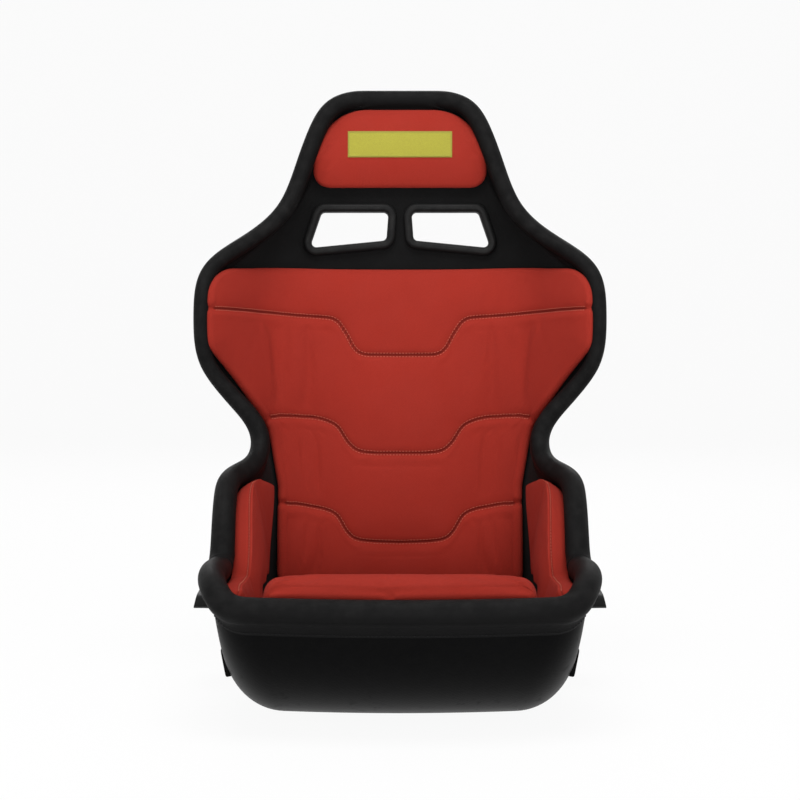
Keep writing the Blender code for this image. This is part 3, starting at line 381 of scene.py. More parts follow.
@dataclass(frozen=True)
class TubForm:
    """The surface that everything is laid on: a cubic B-spline loft through a table of stations."""

    wall: float = 5.0
    thigh_half: float = 240.0
    hip_z: float = 295.0
    waist_z: float = 345.0
    lip_z: float = 167.0
    floor_rear_y: float = 102.0
    lip_roll: float = 17.5
    hip_roll: float = 15.5
    shoulder_roll: float = 11.0
    crown_roll: float = 13.5
    lining_gap: float = 0.4
    lining: float = 3.0
    step: float = 1e-4
    # Each row: the middle's y and z, the rim's x, y and z, half the floor, corner radius, forward bow.
    stations: tuple[tuple[float, ...], ...] = (
        # lip and thighs
        (-300, 167, 228, -287, 183, 218, 44, 26),
        (-295, 140.28, 238, -266, 196, 220, 50, 28),
        (-278, 100.2, 240, -230, 200, 219, 56, 28),
        (-242, 58.45, 240, -186, 197, 217, 62, 28),
        (-192, 26, 240, -148, 192, 214, 66, 28),
        (-136, 9, 239, -114, 190, 211, 68, 26),
        # seat floor and hips
        (-84, 5, 238, -89, 196, 207, 70, 15.6),
        (-37.5, 5, 237, -72, 213.63, 203, 70, 5.2),
        (9, 5, 237, -57, 238.35, 199, 68, 0),
        (57.36, 5, 237, -38, 262.04, 196, 66, 0),
        (102, 5, 237, -16, 281.61, 193, 64, 0),
        (143, 15, 236, 6, 295, 190, 64, 0),
        # loin and waist
        (172, 50, 226.08, 32, 302, 186, 66, 0),
        (184, 104, 208.02, 60, 307, 181, 70, 0),
        (191, 160, 197, 88, 321, 177, 74, 0),
        (197, 212, 195, 107, 345, 175, 80, 0),
        # shoulder wings
        (203.7462, 260.49, 205.92, 112.8662, 371.18, 176.69, 86, 0),
        (211.0113, 312.71, 230.28, 108.7713, 397.36, 178.51, 96, 0),
        (217.7574, 361.2, 252.96, 104.1574, 423.54, 180.2, 108, 0),
        (224.5036, 409.69, 272.28, 98.1236, 449.72, 181.89, 122, 0),
        (231.2497, 458.18, 279, 94.9297, 481.85, 183.58, 132, 0),
        (238.5148, 510.4, 279, 96.5148, 517.55, 185.4, 134, 0),
        (244.2231, 551.43, 279, 103.6431, 553.25, 186.83, 130, 0),
        (248.8935, 585, 271.44, 116.8335, 583, 188, 122, 0),
        # neck and head
        (249.6861, 613.996, 244.44, 143.1861, 605.14, 188, 84, 0),
        (252.0506, 642.04, 202.68, 179.6306, 629.74, 174, 52, 0),
        (254.4637, 671.56, 165.96, 204.7637, 662.95, 153, 36, 0),
        (257.165, 706, 147.96, 218.825, 703.54, 131, 30, 0),
        (259.9806, 744.13, 135, 227.3206, 745.36, 114, 36, 0),
        (262.2335, 777.34, 121, 235.2535, 782.26, 102, 30, 0),
        (263.9321, 805.63, 108, 243.3421, 809.32, 90, 24, 0),
        (264.7322, 821.62, 90, 252.6622, 824.08, 76, 18, 0),
        (265, 829, 64, 260.03, 829, 56, 12, 0),
    )

    def control(self, v: Array) -> Array:
        """Control values at v: a uniform cubic B-spline that meets its end rows."""
        table = np.array(self.stations, float)
        rows = np.vstack([2 * table[0] - table[1], table, 2 * table[-1] - table[-2]])
        spans = len(rows) - 3
        x = np.clip(np.asarray(v, float), 0, 1) * spans
        k = np.minimum(x.astype(int), spans - 1)
        t = (x - k)[..., None]
        first, second = (1 - t) ** 3 * rows[k], (3 * t**3 - 6 * t**2 + 4) * rows[k + 1]
        third = (-3 * t**3 + 3 * t**2 + 3 * t + 1) * rows[k + 2]
        return (first + second + third + t**3 * rows[k + 3]) / 6

    def section(self, v: Array) -> tuple[Array, ...]:
        """The cross-section at v: control values, flat half, end of the corner arc and girth."""
        sy, sz, rx, ry, rz, floor, radius, bow = np.moveaxis(self.control(v), -1, 0)
        depth = np.hypot(ry - sy, rz - sz)
        turn = np.arctan2(depth, rx - floor)
        wall = np.hypot(depth, rx - floor)
        cut = np.minimum(radius * np.tan(turn / 2), 0.92 * np.minimum(floor, wall))
        radius = cut / np.tan(turn / 2)
        flat = floor - cut
        bend = flat + radius * turn
        out = (ry - sy) / depth, (rz - sz) / depth
        return sy, sz, *out, floor, radius, bow, turn, cut, flat, bend, bend + wall - cut

    def girth(self, v: Array) -> Array:
        """Distance from the middle line to the rim."""
        return self.section(v)[-1]

    def surface(self, v: Array, s: Array) -> Array:
        """Points of the inner face: a flat middle, a round corner, then a straight wall."""
        v, s = np.broadcast_arrays(np.asarray(v, float), np.asarray(s, float))
        sy, sz, ny, nz, floor, radius, bow, turn, cut, flat, bend, _ = self.section(v)
        side = np.abs(s)
        beyond = cut + side - bend
        arc = (side - flat) / radius
        bent = side < bend
        outer = np.where(bent, flat + radius * np.sin(arc), floor + beyond * np.cos(turn))
        x = np.where(side < flat, side, outer)
        up = np.where(side < flat, 0, np.where(bent, radius * (1 - np.cos(arc)), beyond * np.sin(turn)))
        y = sy + up * ny + bow * np.minimum(x / floor, 1) ** 2
        return np.stack([np.copysign(x, s), y, sz + up * nz], -1)

    def normal(self, v: Array, s: Array) -> Array:
        """The direction that points into the seat, from differences of the surface."""
        v, s = np.broadcast_arrays(np.asarray(v, float), np.asarray(s, float))
        along = self.surface(v + self.step, s) - self.surface(v - self.step, s)
        across = self.surface(v, s + 0.05) - self.surface(v, s - 0.05)
        return unit(np.cross(across, along))

    def lifted(self, v: Array, s: Array, height: Array | float) -> Array:
        """Points this far above the inner face, towards the sitter."""
        return self.surface(v, s) + np.asarray(height, float)[..., None] * self.normal(v, s)

    @cached_property
    def middle(self) -> tuple[Array, Array, Array, int]:
        """Dense v, the middle line there, its running length, and where the floor turns up."""
        v = np.linspace(0, 1, 801)
        points = self.surface(v, 0 * v)
        turn = int(np.argmin(points[:, 2] + np.abs(points[:, 1] - self.floor_rear_y)))
        return v, points, lengths(points), turn

    def v_of_run(self, run: Array | float) -> Array:
        """v at a running length along the middle line."""
        v, _, length, _ = self.middle
        return np.interp(run, length, v)

    def run_of_v(self, v: Array | float) -> Array:
        """Running length along the middle line at v."""
        dense, _, length, _ = self.middle
        return np.interp(v, dense, length)

    def v_of_height(self, z: Array | float) -> Array:
        """v at a height of the middle line, on the back."""
        v, points, _, turn = self.middle
        return np.interp(z, points[turn:, 2], v[turn:])

    def v_of_depth(self, y: Array | float) -> Array:
        """v at a depth of the middle line, on the floor."""
        v, points, _, turn = self.middle
        return np.interp(y, points[: turn + 40, 1], v[: turn + 40])

    def settle(self, axes: Sequence[int], first: Array, second: Array, v: Array,
               s: Array) -> tuple[Array, Array]:
        """v and s where two coordinates of the surface have the wanted values, by Newton's steps.

        Args:
            axes: the two coordinates' axes.
            first: wanted values of the first coordinate.
            second: wanted values of the second coordinate.
            v: where to start.
            s: where to start.

        Returns:
            The v and s found.
        """
        axes = list(axes)
        for _ in range(12):
            here = self.surface(v, s)[..., axes]
            ahead, behind = self.surface(v + self.step, s), self.surface(v - self.step, s)
            by_v = (ahead - behind)[..., axes] / (2 * self.step)
            by_s = (self.surface(v, s + 0.5) - self.surface(v, s - 0.5))[..., axes]
            miss_a, miss_b = first - here[..., 0], second - here[..., 1]
            area = by_v[..., 0] * by_s[..., 1] - by_v[..., 1] * by_s[..., 0]
            area = np.where(np.abs(area) < 1e-6, 1e-6, area)
            move_v = (miss_a * by_s[..., 1] - miss_b * by_s[..., 0]) / area
            move_s = (by_v[..., 0] * miss_b - by_v[..., 1] * miss_a) / area
            v = np.clip(v + np.clip(move_v, -0.02, 0.02), 0, 1)
            s = s + np.clip(move_s, -30, 30)
        return v, s

    def from_front(self, x: Array, z: Array, height: float) -> Array:
        """Points that are seen at x, z from the front, on the back of the seat."""
        x, z = np.broadcast_arrays(np.asarray(x, float), np.asarray(z, float))
        v, s = self.settle([0, 2], np.abs(x), z, self.v_of_height(z), np.abs(x))
        return self.lifted(v, np.copysign(s, x), height + 0 * x)

    def from_above(self, x: Array, y: Array, height: float) -> Array:
        """Points that are seen at x, y from above, on the floor of the seat."""
        x, y = np.broadcast_arrays(np.asarray(x, float), np.asarray(y, float))
        v, s = self.settle([0, 1], np.abs(x), y, self.v_of_depth(y), np.abs(x))
        return self.lifted(v, np.copysign(s, x), height + 0 * x)

    @cached_property
    def wall_table(self) -> tuple[Array, Array, Array]:
        """v, s and points over the side wall, to start the search of from_side."""
        v, share = np.meshgrid(np.linspace(0, 0.56, 71), np.linspace(0.45, 1, 25), indexing="ij")
        s = share * self.girth(v)
        return v.ravel(), s.ravel(), self.surface(v, s).reshape(-1, 3)

    def from_side(self, y: Array, z: Array, height: Array | float) -> Array:
        """Points that are seen at y, z from the side, on the left-hand wall."""
        y, z = np.broadcast_arrays(np.asarray(y, float), np.asarray(z, float))
        v_table, s_table, points = self.wall_table
        away = (points[:, 1] - y.reshape(-1, 1)) ** 2 + (points[:, 2] - z.reshape(-1, 1)) ** 2
        near = np.argmin(away + 0.02 * (self.thigh_half - points[:, 0]) ** 2, axis=1)
        v, s = self.settle([1, 2], y, z, v_table[near].reshape(y.shape), s_table[near].reshape(y.shape))
        return self.lifted(v, s, np.asarray(height, float) + 0 * y)

    def foot(self, points: Array, v: Array, s: Array) -> tuple[Array, Array]:
        """v and s of the nearest points of the inner face, by Gauss-Newton steps.

        Args:
            points: points near the face.
            v: where to start.
            s: where to start.

        Returns:
            The v and s found.
        """
        for _ in range(7):
            miss = points - self.surface(v, s)
            by_v = (self.surface(v + self.step, s) - self.surface(v - self.step, s)) / (2 * self.step)
            by_s = self.surface(v, s + 0.5) - self.surface(v, s - 0.5)
            move_v, move_s = nearest_steps(by_v, by_s, miss)
            v = np.clip(v + np.clip(move_v, -0.01, 0.01), 3e-4, 1 - 3e-4)
            s = s + np.clip(move_s, -8, 8)
        return v, s

    def roll_radius(self, v: Array) -> Array:
        """Radius of the edge trim, from the lip to the top of the head."""
        stations = [0, 0.12, 0.24, 0.34, 0.46, 0.58, 0.72, 0.84, 1]
        radii = [self.lip_roll, self.lip_roll, mix(self.lip_roll, self.hip_roll, 0.6), self.hip_roll]
        radii += [mix(self.hip_roll, self.shoulder_roll, 0.4), self.shoulder_roll, self.shoulder_roll]
        radii += [mix(self.shoulder_roll, self.crown_roll, 0.6), self.crown_roll]
        return np.interp(v, stations, radii)

    @property
    def lining_top(self) -> float:
        """Height of the lining's face over the tub."""
        return self.lining_gap + self.lining

    @property
    def pad_base(self) -> float:
        """Height of a pad's back over the tub: lining, hook tape and the gaps between."""
        return self.lining_top + 2.7


@dataclass(frozen=True)
class RimLine:
    """The tub's edge as one closed line, with the frame that the trim's section stands in."""

    points: Array
    along: Array
    inward: Array
    up: Array
    radius: Array
    v: Array
    s: Array
    length: Array

    @staticmethod
    def of(tub: TubForm, step: float) -> "RimLine":
        """The edge from the middle of the lip, up the left, over the head and down the right.

        Args:
            tub: the tub.
            step: distance between points.

        Returns:
            The line, softened a little so that the trim turns the front corners in a curve.
        """
        share = np.linspace(0, 1, 120)
        dense = np.linspace(0, 1, 801)
        lip, crown = tub.girth(0.0), tub.girth(1.0)
        v = np.concatenate([0 * share[:-1], dense, 1 + 0 * share[1:]])
        s = np.concatenate([share[:-1] * lip, tub.girth(dense), (1 - share[1:]) * crown])
        points, up = tub.surface(v, s), tub.normal(np.clip(v, 2e-4, 1 - 2e-4), s)
        length = lengths(points)
        even = np.linspace(0, length[-1], math.ceil(length[-1] / step) + 1)
        left, lift = at_lengths(even, length, points), at_lengths(even, length, up)
        place = at_lengths(even, length, np.stack([v, s], -1))
        radius = tub.roll_radius(place[:, 0])
        left[[0, -1], 0] = 0
        closed = np.concatenate([left, (left * FLIP_X)[-2:0:-1]])
        lift = np.concatenate([lift, (lift * FLIP_X)[-2:0:-1]])
        radius = np.concatenate([radius, radius[-2:0:-1]])
        place = np.concatenate([place, (place * (1, -1))[-2:0:-1]])
        closed, lift = soften(closed, 9 / step, True), soften(lift, 12 / step, True)
        along = unit(np.roll(closed, -1, 0) - np.roll(closed, 1, 0))
        lift = unit(lift - (lift * along).sum(-1, keepdims=True) * along)
        return RimLine(closed, along, np.cross(lift, along), lift, radius, *place.T, lengths(closed))

    def bend(self) -> Array:
        """How sharply the line turns inwards, as one over the radius: positive round a corner."""
        gap = np.linalg.norm(np.roll(self.points, -1, 0) - np.roll(self.points, 1, 0), axis=1)
        turn = (np.roll(self.along, -1, 0) - np.roll(self.along, 1, 0)) / gap[:, None]
        return soften((turn * self.inward).sum(-1), 2, True)

    def stretch(self, first: int, last: int) -> "RimLine":
        """The part of the line between two places, which may run over the line's end."""
        k = np.arange(first, last + 1) % len(self.points)
        parts = (self.points, self.along, self.inward, self.up, self.radius, self.v, self.s)
        return RimLine(*[part[k] for part in parts], lengths(self.points[k]))


# ---- Shader node groups and finishes ----


class NodeSheet:
    """Places and links the nodes of one tree."""

    def __init__(self, tree: bpy.types.NodeTree) -> None:
        """Keeps the tree."""
        self.tree = tree

    def wire(self, node: bpy.types.Node, inputs: Inputs) -> bpy.types.Node:
        """Links or sets a node's inputs, by name or number, and hands the node back."""
        for key, value in inputs.items():
            if isinstance(value, Socket):
                self.tree.links.new(value, node.inputs[key])
            else:
                node.inputs[key].default_value = value
        return node

    def add(self, kind: str, inputs: Inputs, **settings: object) -> bpy.types.Node:
        """A new node with its inputs and its own properties."""
        node = self.tree.nodes.new(f"ShaderNode{kind}")
        for name, value in settings.items():
            setattr(node, name, value)
        return self.wire(node, inputs)

    def math(self, operation: str, *values: object) -> Socket:
        """One step of arithmetic."""
        return self.add("Math", dict(enumerate(values)), operation=operation).outputs[0]

    def scaled(self, colour: object, gain: object) -> Socket:
        """A colour made lighter or darker by a factor."""
        return self.add("VectorMath", {0: colour, "Scale": gain}, operation="SCALE").outputs[0]

    def blend(self, share: object, first: object, second: object) -> Socket:
        """Two colours mixed."""
        return self.add("Mix", {0: share, 6: first, 7: second}, data_type="RGBA").outputs[2]

    def spread(self, *values: object) -> Socket:
        """A value, mapped from one range to another and kept within it."""
        return self.add("MapRange", dict(enumerate(values))).outputs[0]

    def noise(self, vector: object, scale: object, detail: float = 3.0, rough: float = 0.55,
              bent: float = 0.0) -> Socket:
        """Soft noise from 0 to 1."""
        inputs = {"Vector": vector, "Scale": scale, "Detail": detail, "Roughness": rough, "Distortion": bent}
        return self.add("TexNoise", inputs).outputs[0]

    def split(self, vector: object) -> list[Socket]:
        """The first two numbers of a vector."""
        return list(self.add("SeparateXYZ", {0: vector}).outputs)[:2]

    def bump(self, height: object, depth: float, strength: float, over: object | None = None) -> Socket:
        """A normal bent by a height, depth metres at 1, over another normal where there is one."""
        below = {} if over is None else {"Normal": over}
        given = {"Height": height, "Distance": depth, "Strength": strength, **below}
        return self.add("Bump", given).outputs[0]


class Effects:
    """The node groups that several finishes share, each built once."""

    def __init__(self) -> None:
        """Builds the groups."""
        self.groups = {"weave": self.weave(), "grain": self.grain(), "tone": self.tone(), "rub": self.rub()}

    @staticmethod
    def start(name: str, outputs: dict[str, str],
              **inputs: object) -> tuple[NodeSheet, dict[str, Socket], bpy.types.Node]:
        """An empty group.

        Args:
            name: its name.
            outputs: the kind of each output.
            inputs: the first value of each input: a number, a colour, or None for a vector.

        Returns:
            A sheet to place its nodes with, its inputs by name and its output node.
        """
        tree = bpy.data.node_groups.new(name, "ShaderNodeTree")
        for label, value in inputs.items():
            kind = "Vector" if value is None else "Float" if isinstance(value, float) else "Color"
            socket = tree.interface.new_socket(label, in_out="INPUT", socket_type=f"NodeSocket{kind}")
            if value is not None:
                socket.default_value = value
        for label, kind in outputs.items():
            tree.interface.new_socket(label, in_out="OUTPUT", socket_type=f"NodeSocket{kind}")
        source, end = tree.nodes.new("NodeGroupInput"), tree.nodes.new("NodeGroupOutput")
        return NodeSheet(tree), {socket.name: socket for socket in source.outputs}, end

    def weave(self) -> bpy.types.NodeTree:
        """Plain weave: each thread's round back, |sin| across it, rises and dips as it crosses the others."""
        sheet, given, end = self.start("woven_cloth", {"Height": "Float", "Shade": "Float"},
                                       Vector=None, Pitch=0.001, Slub=0.3)
        u, v = (sheet.math("DIVIDE", part, given["Pitch"]) for part in sheet.split(given["Vector"]))
        crests = []
        for across, along, lead in ((u, v, 0.0), (v, u, 1.0)):
            back = sheet.math("ABSOLUTE", sheet.math("SINE", sheet.math("MULTIPLY", across, math.pi)))
            order = sheet.math("ADD", along, sheet.math("ADD", sheet.math("FLOOR", across), lead))
            wave = sheet.math("COSINE", sheet.math("MULTIPLY", order, math.pi))
            crests.append(sheet.math("MULTIPLY", back, sheet.math("MULTIPLY_ADD", wave, 0.5, 0.5)))
        over = sheet.math("MAXIMUM", *crests)
        slub = sheet.math("MULTIPLY", sheet.noise(given["Vector"], 900.0, 2.0), given["Slub"])
        shade = sheet.spread(over, 0.0, 0.9, 0.0, 1.0)
        return sheet.wire(end, {"Height": sheet.math("ADD", over, slub), "Shade": shade}).id_data

    def grain(self) -> bpy.types.NodeTree:
        """Leather-like or moulded grain: creases between cells over soft noise, and a roughness to match."""
        sheet, given, end = self.start("fine_grain", {"Height": "Float", "Roughness": "Float"},
                                       Vector=None, Scale=900.0, Crease=0.6, Low=0.4, High=0.6)
        place = given["Vector"]
        cells = sheet.add("TexVoronoi", {"Vector": place, "Scale": given["Scale"]}, feature="DISTANCE_TO_EDGE")
        crease = sheet.spread(cells.outputs["Distance"], 0.0, 0.18, 0.0, 1.0)
        fine = sheet.noise(place, sheet.math("MULTIPLY", given["Scale"], 0.6), 4.0)
        height = sheet.math("MULTIPLY_ADD", crease, given["Crease"], fine)
        rough = sheet.spread(sheet.noise(place, 14.0, 4.0), 0.3, 0.7, given["Low"], given["High"])
        return sheet.wire(end, {"Height": height, "Roughness": rough}).id_data

    def tone(self) -> bpy.types.NodeTree:
        """Uneven dye: the colour drifts over a hand's width and flecks at thread size."""
        sheet, given, end = self.start("uneven_tone", {"Color": "Color"},
                                       Color=(0.5, 0.5, 0.5, 1), Vector=None, Drift=0.1, Fleck=0.1)
        gain = 1.0
        for label, scale, detail in (("Drift", 7.0, 3.0), ("Fleck", 650.0, 2.0)):
            uneven = sheet.math("SUBTRACT", sheet.noise(given["Vector"], scale, detail), 0.5)
            gain = sheet.math("MULTIPLY_ADD", uneven, sheet.math("MULTIPLY", given[label], 2.0), gain)
        return sheet.wire(end, {"Color": sheet.scaled(given["Color"], gain)}).id_data

    def rub(self) -> bpy.types.NodeTree:
        """Wear: a mask that follows an edge value, broken up by noise, between a colour and a worn one."""
        sheet, given, end = self.start(
            "edge_rub", {"Color": "Color", "Mask": "Float"},
            Color=(0, 0, 0, 1), Worn=(0.1, 0.1, 0.1, 1), Edge=0.0, Vector=None, Amount=0.4)
        patchy = sheet.spread(sheet.noise(given["Vector"], 60.0, 5.0, 0.65), 0.4, 0.68, 0.0, 1.0)
        mask = sheet.math("MULTIPLY", sheet.math("MULTIPLY", patchy, given["Edge"]), given["Amount"])
        colour = sheet.blend(mask, given["Color"], given["Worn"])
        return sheet.wire(end, {"Color": colour, "Mask": mask}).id_data


class Coat:
    """A material that is being put together: its nodes, coordinates and surface shader."""

    def __init__(self, name: str, effects: Effects | None = None) -> None:
        """Starts a material with a Principled surface."""
        self.material = bpy.data.materials.new(name)
        self.material.use_nodes = True
        self.sheet = NodeSheet(self.material.node_tree)
        self.shader = self.material.node_tree.nodes["Principled BSDF"]
        self.effects = effects

    @cached_property
    def place(self) -> Socket:
        """Object coordinates, in metres."""
        return self.sheet.add("TexCoord", {}).outputs["Object"]

    @cached_property
    def cloth(self) -> Socket:
        """The piece's cloth map: the way round and the way along, in metres."""
        return self.sheet.add("UVMap", {}, uv_map="cloth").outputs[0]

    def value(self, name: str) -> Socket:
        """A named point value of the mesh, 0 where it has none."""
        return self.sheet.add("Attribute", {}, attribute_name=name).outputs["Fac"]

    def use(self, effect: str, **inputs: object) -> dict[str, Socket]:
        """The outputs of a shared effect with these values, on object coordinates unless told otherwise."""
        node = self.sheet.add("Group", {}, node_tree=self.effects.groups[effect])
        self.sheet.wire(node, {"Vector": self.place, **inputs})
        return {socket.name: socket for socket in node.outputs}

    def dyed(self, colour: Colour, drift: float, fleck: float) -> Socket:
        """A colour with uneven dye."""
        return self.use("tone", Color=(*colour, 1), Drift=drift, Fleck=fleck)["Color"]

    def feed(self, **sockets: object) -> None:
        """Sets or links inputs of the surface shader, with _ for a space."""
        self.sheet.wire(self.shader, {name.replace("_", " "): value for name, value in sockets.items()})


@dataclass(frozen=True)
class Finish:
    """A finish: its colour, and a second one for what is worn, dusty, tarnished or bordered."""

    name: str
    colour: Colour
    second: Colour = (0.0, 0.0, 0.0)

    def make(self, effects: Effects) -> bpy.types.Material:
        """The material, from the shared effects."""
        coat = Coat(self.name, effects)
        self.dress(coat, coat.sheet)
        return coat.material

    def dress(self, coat: Coat, sheet: NodeSheet) -> None:
        """Feeds the shader, which each kind of finish does in its own way."""
        raise NotImplementedError

    def worn(self, coat: Coat, colour: object, edge: object, amount: float) -> dict[str, Socket]:
        """A colour that turns to the second one where its edge value says so, and the mask of it."""
        return coat.use("rub", Color=colour, Worn=(*self.second, 1), Edge=edge, Amount=amount)


@dataclass(frozen=True)
class WovenCloth(Finish):
    """Woven upholstery cloth with a soft nap, painted shade darkening its seam creases, and rubbed on its high
    places.
    """

    pitch: float = 0.0011
    depth: float = 0.00028
    nap: float = 0.06
    rough: tuple[float, float] = (0.78, 0.92)

    def dress(self, coat: Coat, sheet: NodeSheet) -> None:
        """Feeds the shader."""
        weave = coat.use("weave", Vector=coat.cloth, Pitch=self.pitch, Slub=0.35)
        deep = sheet.math("MULTIPLY_ADD", weave["Shade"], 0.30, 0.70)
        # Painted shade: the colour falls to 0.42 along sewn creases, where the crease value is 1.
        deep = sheet.math("MULTIPLY", deep, sheet.spread(coat.value("crease"), 0.0, 1.0, 1.0, 0.42))
        shaded = sheet.scaled(coat.dyed(self.colour, 0.10, 0.16), deep)
        rub = self.worn(coat, shaded, coat.value("edge"), 0.5)
        broad = sheet.bump(sheet.noise(coat.place, 38.0, 3.0, 0.5), 0.0012, 0.5)
        rough = sheet.spread(sheet.noise(coat.place, 24.0, 3.0), 0.3, 0.7, *self.rough)
        coat.feed(Base_Color=rub["Color"], Roughness=rough, Sheen_Weight=self.nap, Sheen_Roughness=0.45,
                  Sheen_Tint=(*[min(1.0, 1.6 * c + 0.15) for c in self.colour], 1), Specular_IOR_Level=0.12,
                  Normal=sheet.bump(weave["Height"], self.depth, 0.9, broad))


@dataclass(frozen=True)
class GrainedCover(Finish):
    """Grained cover over foam, as on the edge trim: fine creases, a faint satin gloss, and painted shade along
    its seam lines.
    """

    def dress(self, coat: Coat, sheet: NodeSheet) -> None:
        """Feeds the shader."""
        grain = coat.use("grain", Scale=620.0, Crease=0.7, Low=0.46, High=0.62)
        # Painted shade: the colour falls to half along the seam lines, where the crease value is 1.
        deep = sheet.spread(coat.value("crease"), 0.0, 1.0, 1.0, 0.5)
        shaded = sheet.scaled(coat.dyed(self.colour, 0.12, 0.08), deep)
        pucker = sheet.bump(sheet.noise(coat.place, 26.0, 2.0, 0.4), 0.0016, 0.35)
        rub = self.worn(coat, shaded, coat.value("edge"), 0.6)
        coat.feed(Base_Color=rub["Color"], Roughness=grain["Roughness"], Specular_IOR_Level=0.05,
                  Normal=sheet.bump(grain["Height"], 0.00022, 0.8, pucker))


@dataclass(frozen=True)
class Gelcoat(Finish):
    """Moulded composite skin: gloss with orange peel, a faint print of the glass cloth, dust and scuffs."""

    def dress(self, coat: Coat, sheet: NodeSheet) -> None:
        """Feeds the shader."""
        rub = self.worn(coat, coat.dyed(self.colour, 0.18, 0.05), 0.35, 0.10)
        printed = coat.use("weave", Vector=coat.cloth, Pitch=0.0034, Slub=0.1)
        peel = sheet.bump(sheet.noise(coat.place, 210.0, 2.0, 0.4), 0.00016, 0.6)
        scuff = sheet.noise(coat.place, 46.0, 6.0, 0.7, 1.2)
        coat.feed(Base_Color=rub["Color"], Roughness=sheet.spread(scuff, 0.55, 0.75, 0.38, 0.52),
                  Specular_IOR_Level=0.025, Normal=sheet.bump(printed["Height"], 0.00005, 0.7, peel))


@dataclass(frozen=True)
class MouldedRubber(Finish):
    """Moulded rubber with a fine matt skin, a little bloom, and greyer where a strap rubs."""

    def dress(self, coat: Coat, sheet: NodeSheet) -> None:
        """Feeds the shader."""
        grain = coat.use("grain", Scale=1500.0, Crease=0.3, Low=0.42, High=0.60)
        rub = self.worn(coat, coat.dyed(self.colour, 0.15, 0.12), coat.value("edge"), 0.55)
        coat.feed(Base_Color=rub["Color"], Roughness=grain["Roughness"], Specular_IOR_Level=0.1,
                  Normal=sheet.bump(grain["Height"], 0.00012, 0.7))


@dataclass(frozen=True)
class TurnedSteel(Finish):
    """Turned and plated steel: fine rings round the bore, thin tarnish and bright rubbed edges."""

    def dress(self, coat: Coat, sheet: NodeSheet) -> None:
        """Feeds the shader."""
        rub = self.worn(coat, (*self.colour, 1), 1.0, 0.7)
        rings = sheet.math("SINE", sheet.math("MULTIPLY", sheet.split(coat.cloth)[1], 21000.0))
        coat.feed(Base_Color=rub["Color"], Roughness=sheet.math("MULTIPLY_ADD", rub["Mask"], 0.25, 0.24),
                  Metallic=1.0, Normal=sheet.bump(rings, 0.00002, 0.5))


@dataclass(frozen=True)
class HookTape(Finish):
    """Hook-and-loop tape: a dense field of small loops that stand up from a woven ground."""

    def dress(self, coat: Coat, sheet: NodeSheet) -> None:
        """Feeds the shader."""
        loops = sheet.add("TexVoronoi", {"Vector": coat.place, "Scale": 950.0}).outputs["Distance"]
        shaded = sheet.scaled(coat.dyed(self.colour, 0.1, 0.5), sheet.math("MULTIPLY_ADD", loops, -0.9, 1.3))
        coat.feed(Base_Color=shaded, Roughness=0.9, Specular_IOR_Level=0.3,
                  Normal=sheet.bump(loops, 0.0008, 1.0))


@dataclass(frozen=True)
class SewnPatch(Finish):
    """A dense flat patch: fine diagonal threads inside, a raised satin-stitched border round them."""

    def dress(self, coat: Coat, sheet: NodeSheet) -> None:
        """Feeds the shader."""
        x, y = sheet.split(coat.cloth)
        hem = coat.value("edge")
        slant = sheet.math("SINE", sheet.math("MULTIPLY", sheet.math("MULTIPLY_ADD", y, 0.6, x), 6800.0))
        satin = sheet.math("SINE", sheet.math("MULTIPLY", sheet.math("ADD", x, y), 11500.0))
        inside = sheet.math("MULTIPLY", slant, sheet.math("SUBTRACT", 1.0, hem))
        threads = sheet.math("MULTIPLY_ADD", satin, hem, inside)
        base = sheet.blend(hem, coat.dyed(self.colour, 0.12, 0.2), (*self.second, 1))
        shaded = sheet.scaled(base, sheet.math("MULTIPLY_ADD", threads, 0.09, 0.91))
        coat.feed(Base_Color=shaded, Roughness=0.62, Sheen_Weight=0.15, Specular_IOR_Level=0.35,
                  Normal=sheet.bump(threads, 0.00016, 0.8))


@dataclass(frozen=True)
class SewingThread(Finish):
    """Twisted polyester thread: slanted strands and a slight gloss."""

    def dress(self, coat: Coat, sheet: NodeSheet) -> None:
        """Feeds the shader."""
        around, along = sheet.split(coat.cloth)
        turns = sheet.math("MULTIPLY", sheet.math("MULTIPLY_ADD", along, 1.5, around), 9000.0)
        strand = sheet.math("SINE", turns)
        shaded = sheet.scaled(coat.dyed(self.colour, 0.1, 0.25), sheet.math("MULTIPLY_ADD", strand, 0.15, 0.85))
        coat.feed(Base_Color=shaded, Roughness=0.6, Specular_IOR_Level=0.15,
                  Normal=sheet.bump(strand, 0.00008, 0.8))


def finishes() -> dict[Look, bpy.types.Material]:
    """The finishes in the photograph's colours, as linear values."""
    effects = Effects()
    kinds = {
        Look.GELCOAT: Gelcoat("gelcoat_black", (0.0026, 0.0026, 0.0027), (0.018, 0.017, 0.016)),
        Look.LINING: WovenCloth("lining_black", (0.0048, 0.0047, 0.0048), (0.016, 0.015, 0.015),
                                0.0012, 0.00025, nap=0.03, rough=(0.85, 0.96)),
        Look.TRIM: GrainedCover("trim_black", (0.0044, 0.0043, 0.0044), (0.013, 0.0125, 0.0125)),
        Look.RED: WovenCloth("cloth_red", (0.345, 0.0270, 0.0165), (0.42, 0.048, 0.030)),
        Look.PATCH: SewnPatch("patch_yellow", (0.395, 0.365, 0.034), (0.36, 0.33, 0.038)),
        Look.TAPE: HookTape("tape_black", (0.016, 0.016, 0.017)),
        Look.RUBBER: MouldedRubber("rubber_grey", (0.0055, 0.0055, 0.0056), (0.018, 0.0175, 0.017)),
        Look.STEEL: TurnedSteel("steel_plated", (0.56, 0.55, 0.53), (0.40, 0.37, 0.30)),
        Look.RED_THREAD: SewingThread("thread_red", (0.62, 0.15, 0.10)),
        Look.BLACK_THREAD: SewingThread("thread_black", (0.007, 0.007, 0.0075)),
    }
    return {look: kind.make(effects) for look, kind in kinds.items()}


# ---- Sewing ----


